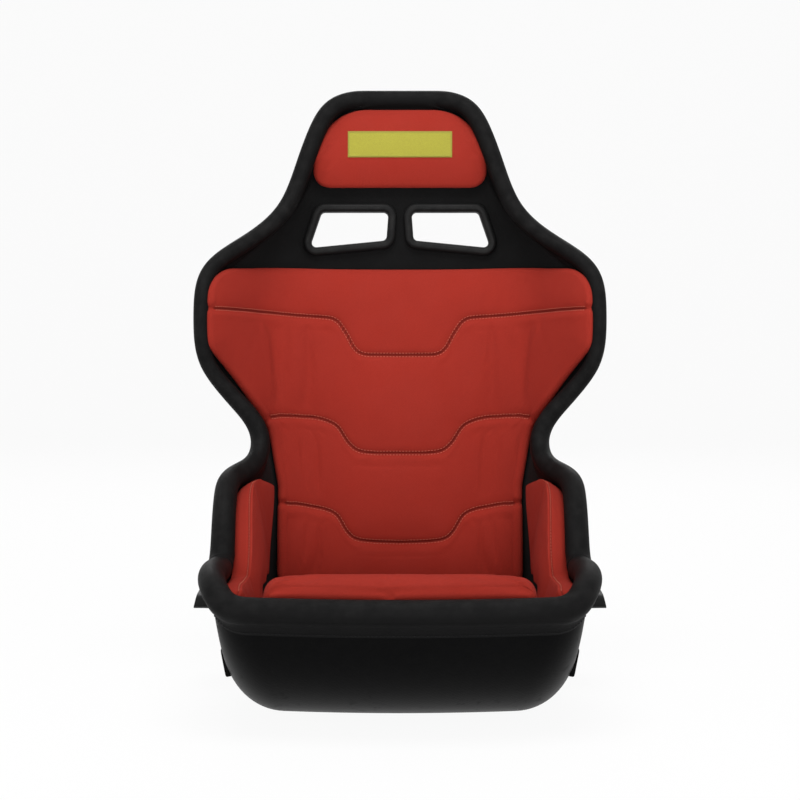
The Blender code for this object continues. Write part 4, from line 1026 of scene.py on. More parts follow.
@dataclass(frozen=True)
class Seamstress:
    """Lays rows of stitches on a grid of surface points."""

    pitch: float = 4.6
    long: float = 3.5
    thick: float = 0.5
    sides: int = 6
    rings: int = 5

    def template(self) -> tuple[Array, Array]:
        """One stitch along x that bows over the cloth and dips into it at both ends.

        Returns:
            Its points, rings of a tube whose radius is the root of a parabola, and their cloth map.
        """
        t = np.linspace(-1, 1, self.rings)[:, None]
        angle = np.linspace(0, 2 * math.pi, self.sides + 1)[None, :-1]
        radius = self.thick * np.sqrt(np.maximum(1 - (0.93 * t) ** 2, 0.05))
        rise = self.thick * (0.75 - 1.5 * t**4)
        x = 0.5 * self.long * t + 0 * angle
        points = np.stack([x, radius * np.cos(angle), rise + radius * np.sin(angle)], -1)
        cloth = np.stack(np.broadcast_arrays(self.thick * angle, x), -1)
        return points.reshape(-1, 3), cloth.reshape(-1, 2)

    def row(self, line: Array, normals: Array) -> Sheet:
        """Stitches along a line.

        Args:
            line: points of the surface that the row follows.
            normals: the surface's directions outwards there.

        Returns:
            All stitches of the row.
        """
        length = lengths(line)
        count = max(2, int(length[-1] / self.pitch))
        at = (np.arange(count) + 0.5) * length[-1] / count
        middle, up = at_lengths(at, length, line), at_lengths(at, length, normals)
        along = unit(at_lengths(at + 0.5, length, line) - at_lengths(at - 0.5, length, line))
        up = unit(up - (up * along).sum(-1, keepdims=True) * along)
        across = np.cross(up, along)
        points, cloth = self.template()
        placed = middle[:, None] + sum(points[None, :, k, None] * axis[:, None]
                                       for k, axis in enumerate((along, across, up)))
        each = np.concatenate([grid_quads(self.rings, self.sides, 0, True), end_quads(self.sides, 0),
                               end_quads(self.sides, (self.rings - 1) * self.sides)[:, ::-1]])
        quads = each[None] + np.arange(count)[:, None, None] * len(points)
        return Sheet(placed.reshape(-1, 3), quads.reshape(-1, 4), np.tile(cloth, (count, 1)))


@dataclass(frozen=True)
class Quilt:
    """A finished grid of surface points, to look up and sew on."""

    points: Array
    normals: Array

    def at(self, i: Array, j: Array, what: Array | None = None) -> Array:
        """Points at fractional rows and columns, each a weighted mean of four neighbours."""
        grid = self.points if what is None else what
        rows, columns = grid.shape[:2]
        a = np.clip(i.astype(int), 0, rows - 2)
        b = np.clip(j.astype(int), 0, columns - 2)
        s, t = np.clip(i - a, 0, 1)[..., None], np.clip(j - b, 0, 1)[..., None]
        low = mix(grid[a, b], grid[a, b + 1], t)
        return mix(low, mix(grid[a + 1, b], grid[a + 1, b + 1], t), s)

    def beside(self, i: Array, j: Array, gap: float) -> tuple[Array, Array]:
        """Places that lie this far to the side of a line of places, by the grid's own steps there."""
        line = self.at(i, j)
        side = unit(np.cross(self.at(i, j, self.normals), np.gradient(line, axis=0))) * gap
        by_i, by_j = self.at(i + 0.5, j) - self.at(i - 0.5, j), self.at(i, j + 0.5) - self.at(i, j - 0.5)
        move_i, move_j = nearest_steps(by_i, by_j, side)
        return i + move_i, j + move_j

    def rows_of_stitches(self, i: Array, j: Array, gaps: Sequence[float], hand: Seamstress) -> Sheet:
        """Rows of stitches beside a line of places."""
        made = None
        for gap in gaps:
            a, b = self.beside(i, j, gap)
            row = hand.row(self.at(a, b), self.at(a, b, self.normals))
            made = row if made is None else made.joined(row)
        return made


# ---- Pillows ----


@dataclass
class Pillow:
    """A pad as three parts: its top grid, loops down its sides from the top's border, and its back."""

    top: Array
    sides: Array
    back: Array
    cloth: Array

    def sheet(self, gone: Array | None = None) -> Sheet:
        """The closed surface, numbered top, sides, back.

        Args:
            gone: the cells of the grid that an opening takes away, walled round from top to back.

        Returns:
            The surface with its cloth map.
        """
        rows, columns = self.top.shape[:2]
        ring = border(rows, columns)
        count, loops = len(ring), len(self.sides)
        first = rows * columns
        levels = [ring] + [first + k * count + np.arange(count) for k in range(loops)]
        back = first + loops * count
        levels.append(back + ring)
        face = grid_quads(rows, columns)
        quads = []
        if gone is not None:
            hole = face[gone.ravel()]
            face = face[~gone.ravel()]
            a, b = lone_edges(hole)
            quads.append(np.stack([b, a, a + back, b + back], -1))
        quads += [face, face[:, ::-1] + back]
        for high, low in zip(levels, levels[1:]):
            quads.append(np.stack([np.roll(high, -1), high, low, np.roll(low, -1)], -1))
        points = np.concatenate([self.top.reshape(-1, 3), self.sides.reshape(-1, 3), self.back.reshape(-1, 3)])
        flat = self.cloth.reshape(-1, 2)
        edge = flat[ring]
        outward = unit(edge - flat.mean(0))
        sides = [edge + outward * 3.0 * (k + 1) for k in range(loops)]
        return Sheet(points, np.concatenate(quads), np.concatenate([flat, *sides, flat]))

    def outward(self) -> Array:
        """The top's directions outwards."""
        normals = grid_normals(self.top)
        away = (self.top - self.back).mean((0, 1))
        return normals if (normals.mean((0, 1)) * away).sum() > 0 else -normals


@dataclass(frozen=True)
class Inflator:
    """Blows a pad up with Blender's cloth, its back and seams held, and caps how far it moves."""

    pressure: float = 4.0
    frames: int = 20
    cap: float = 6.0

    def settle(self, sheet: Sheet, hold: Array) -> Array:
        """How far each point of a closed sheet moves under pressure.

        Args:
            sheet: the closed surface, a little smaller than the finished pad.
            hold: how firmly each point is held, from 0 to 1.

        Returns:
            Moves in millimetres, none longer than the cap.
        """
        thing = Bench.mesh("inflating", sheet)
        group = thing.vertex_groups.new(name="hold")
        levels = np.round(hold * 8) / 8
        for level in np.unique(levels[levels > 0]):
            group.add(np.nonzero(levels == level)[0].tolist(), float(level), "REPLACE")
        cloth = thing.modifiers.new("Cloth", "CLOTH")
        cloth.settings.quality = 5
        cloth.settings.mass = 0.3
        cloth.settings.tension_stiffness = 12
        cloth.settings.compression_stiffness = 12
        cloth.settings.shear_stiffness = 5
        cloth.settings.bending_stiffness = 0.4
        cloth.settings.use_pressure = True
        cloth.settings.uniform_pressure_force = self.pressure
        cloth.settings.vertex_group_mass = "hold"
        cloth.settings.effector_weights.gravity = 0
        cloth.point_cache.frame_start = 1
        cloth.point_cache.frame_end = self.frames
        scene = bpy.context.scene
        for number in range(1, self.frames + 1):
            scene.frame_set(number)
        blown = thing.evaluated_get(bpy.context.evaluated_depsgraph_get()).data
        points = np.empty(len(blown.vertices) * 3, np.float32)
        blown.vertices.foreach_get("co", points)
        scene.frame_set(1)
        mesh = thing.data
        bpy.data.objects.remove(thing)
        bpy.data.meshes.remove(mesh)
        moved = points.reshape(-1, 3).astype(float) / MM - sheet.points
        far = np.linalg.norm(moved, axis=1, keepdims=True)
        LOG.info("cloth moved up to %.1f mm", far.max())
        return moved * np.tanh(far / self.cap) * self.cap / np.maximum(far, 1e-6)


Form = Callable[[Array, Array], Pillow]


@dataclass(frozen=True)
class PadMaker:
    """Shapes a pad coarsely, inflates it, and carries the puff over to the finely meshed pad."""

    inflator: Inflator
    coarse: tuple[int, int]
    fine: tuple[int, int]

    def puffed(self, form: Form, hold: Callable[[Pillow], Array]) -> Pillow:
        """The fine pad with the coarse pad's puff.

        Args:
            form: the pad's shape at given row and column shares, each from 0 to 1.
            hold: how firmly each point of the coarse top is held.

        Returns:
            The fine pad, before its creases.
        """
        rows, columns = self.coarse
        rough = form(np.linspace(0, 1, rows), np.linspace(0, 1, columns))
        loops, count = rough.sides.shape[:2]
        down = np.broadcast_to(np.linspace(0.1, 1.2, loops)[:, None], (loops, count))
        held = np.concatenate([hold(rough).ravel(), np.clip(down, 0, 1).ravel(), np.ones(rows * columns)])
        moves = self.inflator.settle(rough.sheet(), held)
        top = moves[: rows * columns].reshape(rows, columns, 3)
        sides = moves[rows * columns : rows * columns + loops * count].reshape(loops, count, 3)
        i = np.linspace(0, rows - 1, self.fine[0])
        j = np.linspace(0, columns - 1, self.fine[1])
        fine = form(i / (rows - 1), j / (columns - 1))
        around = np.concatenate([j[:-1], columns - 1 + i[:-1], columns + rows - 2 + j[-1] - j[:0:-1],
                                 2 * columns + rows - 3 + i[-1] - i[:0:-1]])
        closed = np.concatenate([sides, sides[:, :1]], 1)
        fine.top = fine.top + resample(resample(top, i, 0), j, 1)
        fine.sides = fine.sides + resample(closed, around, 1)
        return fine


def border_frame(points: Array, normals: Array) -> Array:
    """The directions that point away from a grid, square to its border line and its normals.

    Args:
        points: the grid's border in order.
        normals: the directions off the surface there.

    Returns:
        One unit vector for each border point, softened so that corners fan out evenly.
    """
    along = unit(np.roll(points, -1, 0) - np.roll(points, 1, 0))
    out = np.cross(along, normals)
    out = soften(out, 1.2, True)
    middle = points.mean(0)
    if ((points - middle) * out).sum() < 0:
        out = -out
    return unit(out - (out * normals).sum(-1, keepdims=True) * normals)


def side_loops(ring: Array, normals: Array, inset: float, heights: tuple[float, float], count: int) -> Array:
    """Loops from a pad's top border round its edge and down to its back.

    Each loop stands off the border's foot by a quarter ellipse: outwards by inset times the sine
    and up by the cosine, and below the widest place it tucks in by a third of the inset.

    Args:
        ring: the border's feet on the pad's base surface.
        normals: the directions off the surface there.
        inset: how far the pad reaches past its top grid.
        heights: height of the top grid's border and of the widest place over the feet.
        count: loops above the widest place.

    Returns:
        The loops, top first.
    """
    out = border_frame(ring, normals)
    top, wide = heights
    turn = np.linspace(0, math.pi / 2, count + 1)[1:]
    reach = inset * np.sin(turn)
    rise = wide + (top - wide) * np.cos(turn)
    tuck = np.linspace(0, 1, max(3, count // 2) + 1)[1:]
    reach = np.concatenate([reach, inset * (1 - 0.35 * tuck**2)])
    rise = np.concatenate([rise, wide * (1 - tuck)])
    rise[-1] = 0.4
    return ring + reach[:, None, None] * out + rise[:, None, None] * normals


def crowned(away: Array, low: float, high: float, width: float) -> Array:
    """Height of a pad at a distance from its border: low there, rising softly to high."""
    return low + (high - low) * (1 - (1 - np.clip(away / width, 0, 1)) ** 2.4)


@dataclass(frozen=True)
class SeamLine:
    """A sewn channel of the back pad's left half, as girth and running length, outer end first."""

    girth: tuple[float, ...]
    run: tuple[float, ...]

    def dense(self, step: float = 2.0) -> tuple[Array, Array]:
        """Evenly spaced girths and running lengths of the whole seam, left to right, bends rounded."""
        half = np.stack([self.girth, self.run], -1)
        line = np.concatenate([half, (half * (-1, 1))[-2::-1]])
        length = lengths(line)
        even = np.linspace(0, length[-1], int(length[-1] / step))
        line = soften(at_lengths(even, length, line), 3.5 / step)
        return line[:, 0], line[:, 1]


@dataclass
class BackPads:
    """The big backrest pad with its three sewn channels, the head pad and the patch on it."""

    tub: TubForm
    seams: tuple[SeamLine, ...] = (
        SeamLine((368, 340, 269, 203, 150, 115, 99, 89, 77, 68, 60, 49, 0),
                 (1036.2, 1040.6, 1037.2, 1033.1, 1029.5, 1027.6, 1026.1, 1019.9, 1001.2, 983.6, 975.5,
                  972.3, 972.0)),
        SeamLine((277, 273, 266, 216, 193, 175, 160, 146, 133, 119, 108, 96, 89, 76, 66, 56, 36, 0),
                 (804, 805, 807, 858, 871, 876, 879, 880, 881, 880, 877, 872, 866, 845, 835, 831, 829, 829)),
        SeamLine((319, 302, 276, 244, 195, 168, 152, 137, 122, 109, 98, 90, 78, 69, 57, 36, 0),
                 (629, 643, 664, 687, 723, 739, 745, 748, 749, 748, 744, 738, 717, 707, 703, 701, 700)),
    )
    bottom_z: float = 100.0
    top_z: float = 584.0
    flank: tuple[tuple[float, ...], tuple[float, ...]] = (
        (274, 343, 363, 387, 405, 425, 450, 470, 481, 491),
        (182, 195.2, 201, 217, 229, 241.6, 258, 271.5, 279.3, 284),
    )
    overlap: float = 11.5
    top_bow: tuple[float, float] = (-5.0, 3.0)
    corners: tuple[float, float] = (18.0, 44.0)
    thick: float = 21.0
    edge_thick: float = 15.0
    inset: float = 9.0
    head_bottom_z: float = 699.0
    head_top_z: float = 813.0
    head_half: float = 128.0
    head_corner: float = 27.0
    head_thick: float = 23.0
    head_splay: float = 0.6
    patch_half: float = 76.0
    patch_bottom_z: float = 744.0
    patch_top_z: float = 782.0
    patch_thick: float = 1.3

    def half_at(self, z: Array) -> Array:
        """Half width of the backrest pad at a height."""
        return np.interp(z, *self.flank)

    def reach(self, run: Array, half_at: Callable[[Array], Array], margin: float) -> Array:
        """Girth of a pad's side: where the seat is as wide as the pad, or the trim begins."""
        tub = self.tub
        v = tub.v_of_run(run)
        free = tub.girth(v) - tub.roll_radius(v) - margin
        s = np.linspace(0.2, 1, 240) * free[:, None]
        points = tub.surface(v[:, None], s)
        over = half_at(points[..., 2]) - points[..., 0]
        last = np.maximum(over.shape[1] - 1 - np.argmax((over > 0)[:, ::-1], axis=1), 1)
        return soften(np.take_along_axis(s, last[:, None], 1)[:, 0], len(run) / 90)

    def outline(self, low_z: float, high_z: float, corners: tuple[float, float],
                half_at: Callable[[Array], Array], margin: float) -> Callable[[Array], tuple[Array, Array]]:
        """The rows of a pad whose corners are round.

        Args:
            low_z: height of its lower edge.
            high_z: height of its upper edge.
            corners: radii of its lower and upper corners.
            half_at: half width at a height.
            margin: room between the pad and the trim, below 0 where it laps over the trim.

        Returns:
            A function that gives running length and half girth for row shares from 0 to 1.
        """
        tub, inset = self.tub, self.inset
        low = float(tub.run_of_v(tub.v_of_height(low_z))) + inset
        high = float(tub.run_of_v(tub.v_of_height(high_z))) - inset
        table = np.linspace(low, high, 360)
        halves = self.reach(table, half_at, margin) - inset
        first, second = (max(radius - inset, 4.0) for radius in corners)

        def rows(share: Array) -> tuple[Array, Array]:
            ends = 0.5 - 0.5 * np.cos(math.pi * share)
            run = mix(low, high, mix(share, ends, 0.42))
            into_low = np.clip(1 - (run - low) / first, 0, 1)
            into_high = np.clip(1 - (high - run) / second, 0, 1)
            loss = first * (1 - np.sqrt(1 - into_low**2)) + second * (1 - np.sqrt(1 - into_high**2))
            return run, np.interp(run, table, halves) - loss

        return rows

    def seam_line(self, seam: SeamLine, height: float) -> Array:
        """A seam's points over the tub."""
        s, run = seam.dense()
        return self.tub.lifted(self.tub.v_of_run(run), s, height + 0 * s)

    def form(self, rows: Callable[[Array], tuple[Array, Array]], thick: float, edge: float, crown: float,
             splay: float, seams: Sequence[Array], bows: tuple[float, float] = (0.0, 0.0)) -> Form:
        """A pad's shape: its height over the tub rises from the edge to the middle and dips at seams.

        Args:
            rows: running length and half girth for row shares.
            thick: its thickness.
            edge: its thickness at the border of the top grid.
            crown: distance over which it rises.
            splay: how far its sides turn with the wall, from 0 to 1.
            seams: the lines where it is sewn down.
            bows: how far its upper edge is moved up in the middle and at the sides.

        Returns:
            The shape as a function of row and column shares.
        """
        tub = self.tub

        def shape(p: Array, q: Array) -> Pillow:
            run, half = rows(p)
            s = (2 * q - 1)[None] * half[:, None]
            bow = mix(*bows, (s / half.max()) ** 2) * smooth(1 - (rows(np.ones(1))[0] - run) / 55)[:, None]
            v = tub.v_of_run(run[:, None] + bow)
            back = tub.lifted(v, s, tub.pad_base + 0 * v * s)
            rise = tub.normal(v, splay * s)
            ring = border(*s.shape)
            foot = back.reshape(-1, 3)[ring]
            outer = np.concatenate([foot, foot[:1]])
            away = np.minimum(line_distance(back, outer), 1e3)
            height = crowned(away, edge, thick, crown)
            for seam, sewn in zip(seams, self.seams):
                height = height - 2.4 * peak(line_distance(back, seam), 8.0)
                below = np.interp(np.abs(s), sewn.girth[::-1], sewn.run[::-1]) - run[:, None]
                height = height + 1.3 * peak(below - 11, 7.0) * (line_distance(back, seam) < 20)
            sides = side_loops(foot, rise.reshape(-1, 3)[ring], self.inset, (edge, 0.45 * edge), 7)
            pull = np.max([0 * foot[:, 0]] + [peak(line_distance(foot, seam), 4.5) for seam in seams], 0)
            sides = sides - (0.4 * pull)[None, :, None] * (sides - foot[None])
            cloth = np.stack(np.broadcast_arrays(s, run[:, None]), -1)
            return Pillow(back + height[..., None] * rise, sides, back, cloth)

        return shape

    def sewn(self, pad: Pillow, lines: Sequence[Array]) -> tuple[Pillow, Array]:
        """Pulls narrow creases into a pad along its seams.

        Args:
            pad: the puffed pad.
            lines: the seams' lines on its top.

        Returns:
            The pad, and how deep in a crease each of its top points lies, from 0 to 1.
        """
        outward = pad.outward()
        crease = np.zeros(pad.top.shape[:2])
        for line in lines:
            crease = np.maximum(crease, peak(line_distance(pad.top, line), 2.0))
        pad.top = pad.top - 1.9 * crease[..., None] * outward
        return pad, crease

    def make(self, bench: Bench) -> None:
        """Builds and dresses both pads, their stitching and the patch."""
        self.make_back(bench)
        self.make_head(bench)

    def make_back(self, bench: Bench) -> None:
        """The backrest pad: three channels, each crease between two rows of stitches."""
        rows = self.outline(self.bottom_z, self.top_z, self.corners, self.half_at, -self.overlap)
        low = [self.seam_line(seam, self.tub.pad_base) for seam in self.seams]
        form = self.form(rows, self.thick - 3.5, self.edge_thick - 1.5, 34.0, 1.0, low, self.top_bow)
        maker = PadMaker(Inflator(cap=5.0), (60, 66), (250, 190))

        def hold(pad: Pillow) -> Array:
            near = np.min([line_distance(pad.back, line) for line in low], axis=0)
            return peak(near, 5.0)

        pad = maker.puffed(form, hold)
        quilt = Quilt(pad.top, pad.outward())
        share = np.linspace(0, 1, maker.fine[0])
        run, half = rows(share)
        places = []
        for seam in self.seams:
            s, at = seam.dense()
            i = np.interp(at, run, np.arange(len(run)))
            j = (s / np.interp(at, run, half) + 1) / 2 * (maker.fine[1] - 1)
            inside = (j > 0) & (j < maker.fine[1] - 1)
            places.append((i[inside], j[inside]))
        pad, crease = self.sewn(pad, [quilt.at(i, j) for i, j in places])
        sheet = pad.sheet()
        rest = len(sheet.points) - crease.size
        # The crease value darkens the cloth's colour in the channels' creases: painted shade.
        sheet.values["crease"] = np.concatenate([crease.ravel(), np.zeros(rest)])
        bench.piece("back_pad_cover", sheet, Look.RED, ["back_pad"])
        quilt = Quilt(pad.top, pad.outward())
        hand = Seamstress()
        thread = None
        for i, j in places:
            rows_made = quilt.rows_of_stitches(i, j, (3.0, -3.0), hand)
            thread = rows_made if thread is None else thread.joined(rows_made)
        bench.piece("back_pad_stitching", thread, Look.RED_THREAD)

    def make_head(self, bench: Bench) -> None:
        """The head pad, a plain crowned pad, and its patch with a sewn border."""
        rows = self.outline(self.head_bottom_z, self.head_top_z, (self.head_corner, self.head_corner + 24),
                            lambda z: self.head_half + 0 * z, 1.0)
        form = self.form(rows, self.head_thick - 3.0, self.edge_thick - 2, 40.0, self.head_splay, [])
        maker = PadMaker(Inflator(cap=3.5), (26, 44), (76, 130))
        pad = maker.puffed(form, lambda rough: np.zeros(rough.top.shape[:2]))
        sheet = pad.sheet()
        bench.piece("head_pad_cover", sheet, Look.RED, ["head_pad"])
        self.make_patch(bench, Quilt(pad.top, pad.outward()))

    def make_patch(self, bench: Bench, quilt: Quilt) -> None:
        """The patch: a thin rounded rectangle that lies on the pad's face, its border raised.

        Args:
            bench: makes the pieces.
            quilt: the head pad's top.
        """
        across, up = np.linspace(-1, 1, 90), np.linspace(-1, 1, 34)
        u, w = np.meshgrid(across, up)
        tall = (self.patch_top_z - self.patch_bottom_z) / 2
        x, z = u * self.patch_half, (self.patch_bottom_z + self.patch_top_z) / 2 + w * tall
        grid = quilt.points
        columns = np.arange(grid.shape[1], dtype=float)
        middle = grid[:, grid.shape[1] // 2]
        i = np.interp(z, middle[:, 2], np.arange(len(middle), dtype=float))
        j = np.interp(x, *self.sorted_pair(grid[len(grid) // 2, :, 0], columns))
        face = quilt.at(i, j)
        face[..., 0], face[..., 2] = x, z
        normals = quilt.at(i, j, quilt.normals)
        hem = np.minimum(self.patch_half - np.abs(x), tall - np.abs(w * tall))
        rise = 0.5 + 0.8 * np.clip(hem / 0.8, 0, 1) - 0.35 * smooth((hem - 2.6) / 0.8)
        top = face + rise[..., None] * normals
        low = face + 0.15 * normals
        cloth = np.stack([x, z], -1)
        pillow = Pillow(top, np.zeros((0, len(border(*x.shape)), 3)), low, cloth)
        sheet = pillow.sheet()
        ringed = 1 - smooth((hem - 2.4) / 0.6)
        sheet.values["edge"] = np.concatenate([ringed.ravel(), ringed.ravel()])
        bench.piece("head_patch_cloth", sheet, Look.PATCH, ["head_patch"])

    @staticmethod
    def sorted_pair(keys: Array, values: Array) -> tuple[Array, Array]:
        """Two matching rows, put in rising order of the first."""
        order = np.argsort(keys)
        return keys[order], values[order]


@dataclass
class SideBolster:
    """A hip and thigh bolster: a boxed pad whose top and inner faces meet in a topstitched ridge."""

    tub: TubForm
    rim: RimLine
    front_y: float = -230.0
    rear_y: float = 111.0
    bottom_z: float = 67.0
    hip_z: float = 290.0
    rear_z: float = 261.0
    thick: float = 29.0
    rear_thick: float = 12.0
    margin: float = 2.5
    cushion_half: float = 173.0
    slot_y: float = 46.0
    slot_z: float = 113.0
    peak: float = 15.0
    peak_y: float = -60.0
    topstitch: float = 4.2
    ridge_round: float = 5.0
    face_round: float = 9.0

    def edges(self, y: Array) -> tuple[Array, Array]:
        """Height of the lower and the upper edge along the wall."""
        left = self.rim.stretch(0, len(self.rim.points) // 2)
        waist = int(np.argmax(np.where(left.points[:, 2] < self.tub.waist_z + 5, left.points[:, 1], -1e9)))
        rim_y, rim_z, radius = left.points[:waist, 1], left.points[:waist, 2], left.radius[:waist]
        slope = np.gradient(rim_z, left.length[:waist])
        ahead = np.gradient(rim_y, left.length[:waist])
        free = rim_z - (radius + self.margin) / np.maximum(np.abs(ahead), 0.45) * (1 + 0.1 * slope**2)
        top = soften(np.interp(y, rim_y, free), 2.0)
        hip = mix(self.hip_z, self.rear_z, np.clip((y - 12) / (self.rear_y - 12), 0, 1) ** 1.4)
        step = smooth((y - (self.slot_y - 115)) / 50)
        bottom = mix(self.bottom_z, self.slot_z + 34, step)
        bottom = bottom + (self.tub.lip_z / 3) * np.clip((self.front_y + 60 - y) / 50, 0, 1)
        return bottom, np.minimum(top, hip)

    def section(self) -> tuple[Array, Array, Array]:
        """The closed section: its share of the height, its share of the thickness, and its kind of place.

        Returns:
            Heights and thicknesses from 0 to 1, and the distance in millimetres from the ridge on the
            top face, or a large number elsewhere.
        """
        up = np.linspace(0, 1, 12)
        wall = np.stack([up, 0 * up], -1)
        over = np.linspace(0, 1, 15)[1:-1]
        top = np.stack([1 + 0 * over, over], -1)
        down = np.linspace(1, 0, 24)
        inner = np.stack([down, 1 + 0 * down], -1)
        under = np.linspace(1, 0, 8)[1:-1]
        low = np.stack([0 * under, under], -1)
        loop = np.concatenate([wall, top, inner, low])
        kind = np.concatenate([1e3 + 0 * up, (1 - over), 0 * down + 1e3, 0 * under + 1e3])
        kind[len(wall) + len(top)] = 0
        return loop[:, 0], loop[:, 1], kind

    def make(self, bench: Bench) -> None:
        """Builds and dresses the left bolster and its mirror image."""
        tub = self.tub
        y = np.linspace(self.front_y, self.rear_y, 64)
        bottom, top = self.edges(y)
        share = np.linspace(0, 1, 22)
        grid_y = y[:, None] + 0 * share
        grid_z = mix(bottom[:, None], top[:, None], share)
        wall = tub.from_side(grid_y, grid_z, 0.0)
        normals = unit(tub.from_side(grid_y, grid_z, 1.0) - wall)
        rows, ups = 190, 90
        fine = np.linspace(0, len(y) - 1, rows)
        high = np.linspace(0, len(share) - 1, ups)
        wall = resample(resample(wall, fine, 0), high, 1)
        normals = unit(resample(resample(normals, fine, 0), high, 1))
        along = resample(y, fine)
        thick = mix(self.thick, self.rear_thick, np.clip((along - 8) / (self.rear_y - 8), 0, 1))
        up, out, kind = self.section()
        table = Quilt(wall, normals)
        loops = self.loops(table, along, thick, resample(bottom, fine), resample(top, fine), up, out)
        coarse = loops[::4]
        rough = self.closed(coarse, kind, along[::4])
        firm = np.where(out < 0.02, 1.0, np.where(np.abs(kind) < 0.05, 0.8, 0.0))
        ends = np.zeros(len(coarse))
        ends[[0, 1, -2, -1]] = 1
        hold = np.maximum(np.broadcast_to(firm, coarse.shape[:2]), ends[:, None]).ravel()
        hold = np.concatenate([hold[: len(out)], hold, hold[-len(out) :]])
        moves = Inflator(cap=3.0).settle(rough, hold)[len(out) : -len(out)].reshape(*coarse.shape)
        places = np.clip(np.arange(rows) / 4, 0, len(coarse) - 1)
        loops = loops + resample(moves, places, 0)
        loops[..., 0] = np.maximum(loops[..., 0], self.cushion_half + 2.0)
        self.finish(bench, loops, kind, along)

    def loops(self, table: Quilt, along: Array, thick: Array, bottom: Array, top: Array, up: Array,
              out: Array) -> Array:
        """The section at each row: a box on the wall with round corners, crowned faces and full ends.

        Args:
            table: wall points and normals by row and share of the height.
            along: depth of each row.
            thick: thickness at each row.
            bottom: lower edge at each row.
            top: upper edge at each row.
            up: the section's shares of the height.
            out: the section's shares of the thickness.

        Returns:
            One loop of points for each row.
        """
        rows, ups = table.points.shape[:2]
        tall = (top - bottom)[:, None]
        deep = thick[:, None]
        to_end = np.minimum(along - along[0], along[-1] - along)[:, None]
        full = np.sqrt(np.clip(1 - (1 - np.clip(to_end / 11.0, 0, 1)) ** 2, 0.02, 1))
        z_mm, d_mm = up[None] * tall, out[None] * deep
        from_top, from_low = tall - z_mm, z_mm
        from_face, from_wall = deep - d_mm, d_mm
        high, low = self.ridge_round, self.face_round
        lift = d_mm + self.arc(from_top, from_wall, high) - self.arc(from_low, from_face, low)
        rise = z_mm - self.arc(from_wall, from_top, high) + self.arc(from_face, from_low, low)
        inner = np.isclose(out, 1.0)[None]
        lift = lift + inner * 3.0 * np.sin(math.pi * np.clip(z_mm / tall, 0, 1)) ** 0.7
        over = np.isclose(up, 1.0)[None]
        rise = rise + over * 1.8 * np.sin(math.pi * np.clip(d_mm / deep, 0, 1)) ** 0.8
        hip = self.peak * smooth((along - self.peak_y) / 70)[:, None]
        rise = rise + hip * out[None] * smooth((up[None] - 0.45) / 0.55)
        middle = 0.5 * deep
        lift = middle + (lift - middle) * full
        rise = 0.5 * tall + (rise - 0.5 * tall) * mix(1, full, np.minimum(12 / (0.5 * tall), 1))
        row = np.broadcast_to(np.arange(rows, dtype=float)[:, None], lift.shape)
        place = np.clip(rise / tall, 0, 1) * (ups - 1)
        extra = np.maximum(rise - tall, 0) + np.minimum(rise, 0)
        foot, normal = table.at(row, place), unit(table.at(row, place, table.normals))
        upward = unit(table.at(row, 0 * place + ups - 1) - table.at(row, 0 * place + ups - 4))
        return foot + extra[..., None] * upward + (self.tub.pad_base + lift)[..., None] * normal

    @staticmethod
    def arc(one: Array, other: Array, radius: float) -> Array:
        """How far a point on a face is pulled in near a corner, from its distances to both faces."""
        near = np.clip(1 - other / radius, 0, 1)
        return np.where(one < 1e-6, radius * (1 - np.sqrt(1 - near**2)), 0.0)

    def closed(self, loops: Array, kind: Array, along: Array) -> Sheet:
        """The bolster's closed surface with its crease value, which paints shade along the topstitch groove,
        and its edge value.
        """
        sheet = tube_sheet(loops, along=along)
        rows = len(loops) + 2
        ridge = np.tile(peak(kind * self.thick - self.topstitch, 0.9), rows)
        # Painted shade: the crease value darkens the cloth along the topstitch groove.
        sheet.values["crease"] = 0.8 * ridge
        sheet.values["edge"] = np.tile(peak(kind * self.thick, 1.5), rows)
        return sheet

    def finish(self, bench: Bench, loops: Array, kind: Array, along: Array) -> None:
        """Sinks the topstitching line, sews it and makes both bolsters.

        Args:
            bench: makes the pieces.
            loops: the puffed sections.
            kind: share of the thickness from the ridge, on the top face.
            along: depth of each row.
        """
        normals = grid_normals(loops, wrap=True)
        middle = loops.mean(1, keepdims=True)
        normals = normals if ((loops - middle) * normals).sum() > 0 else -normals
        sunk = 0.7 * peak(kind * self.thick - self.topstitch, 1.2)
        loops = loops - sunk[None, :, None] * normals
        column = float(np.interp(self.topstitch / self.thick, kind[12:26][::-1], np.arange(12, 26)[::-1]))
        quilt = Quilt(loops, normals)
        i = np.linspace(4, len(loops) - 5, 300)
        thread = quilt.rows_of_stitches(i, 0 * i + column, (0.0,), Seamstress())
        sheet = self.closed(loops, kind, along)
        for side in Side:
            word = side.name.lower()
            mine = sheet if side is Side.LEFT else sheet.mirrored()
            sewn = thread if side is Side.LEFT else thread.mirrored()
            bench.piece(f"side_bolster_cover_{word}", mine, Look.RED, [f"side_bolster_{word}"], 50)
            bench.piece(f"side_bolster_stitching_{word}", sewn, Look.RED_THREAD)


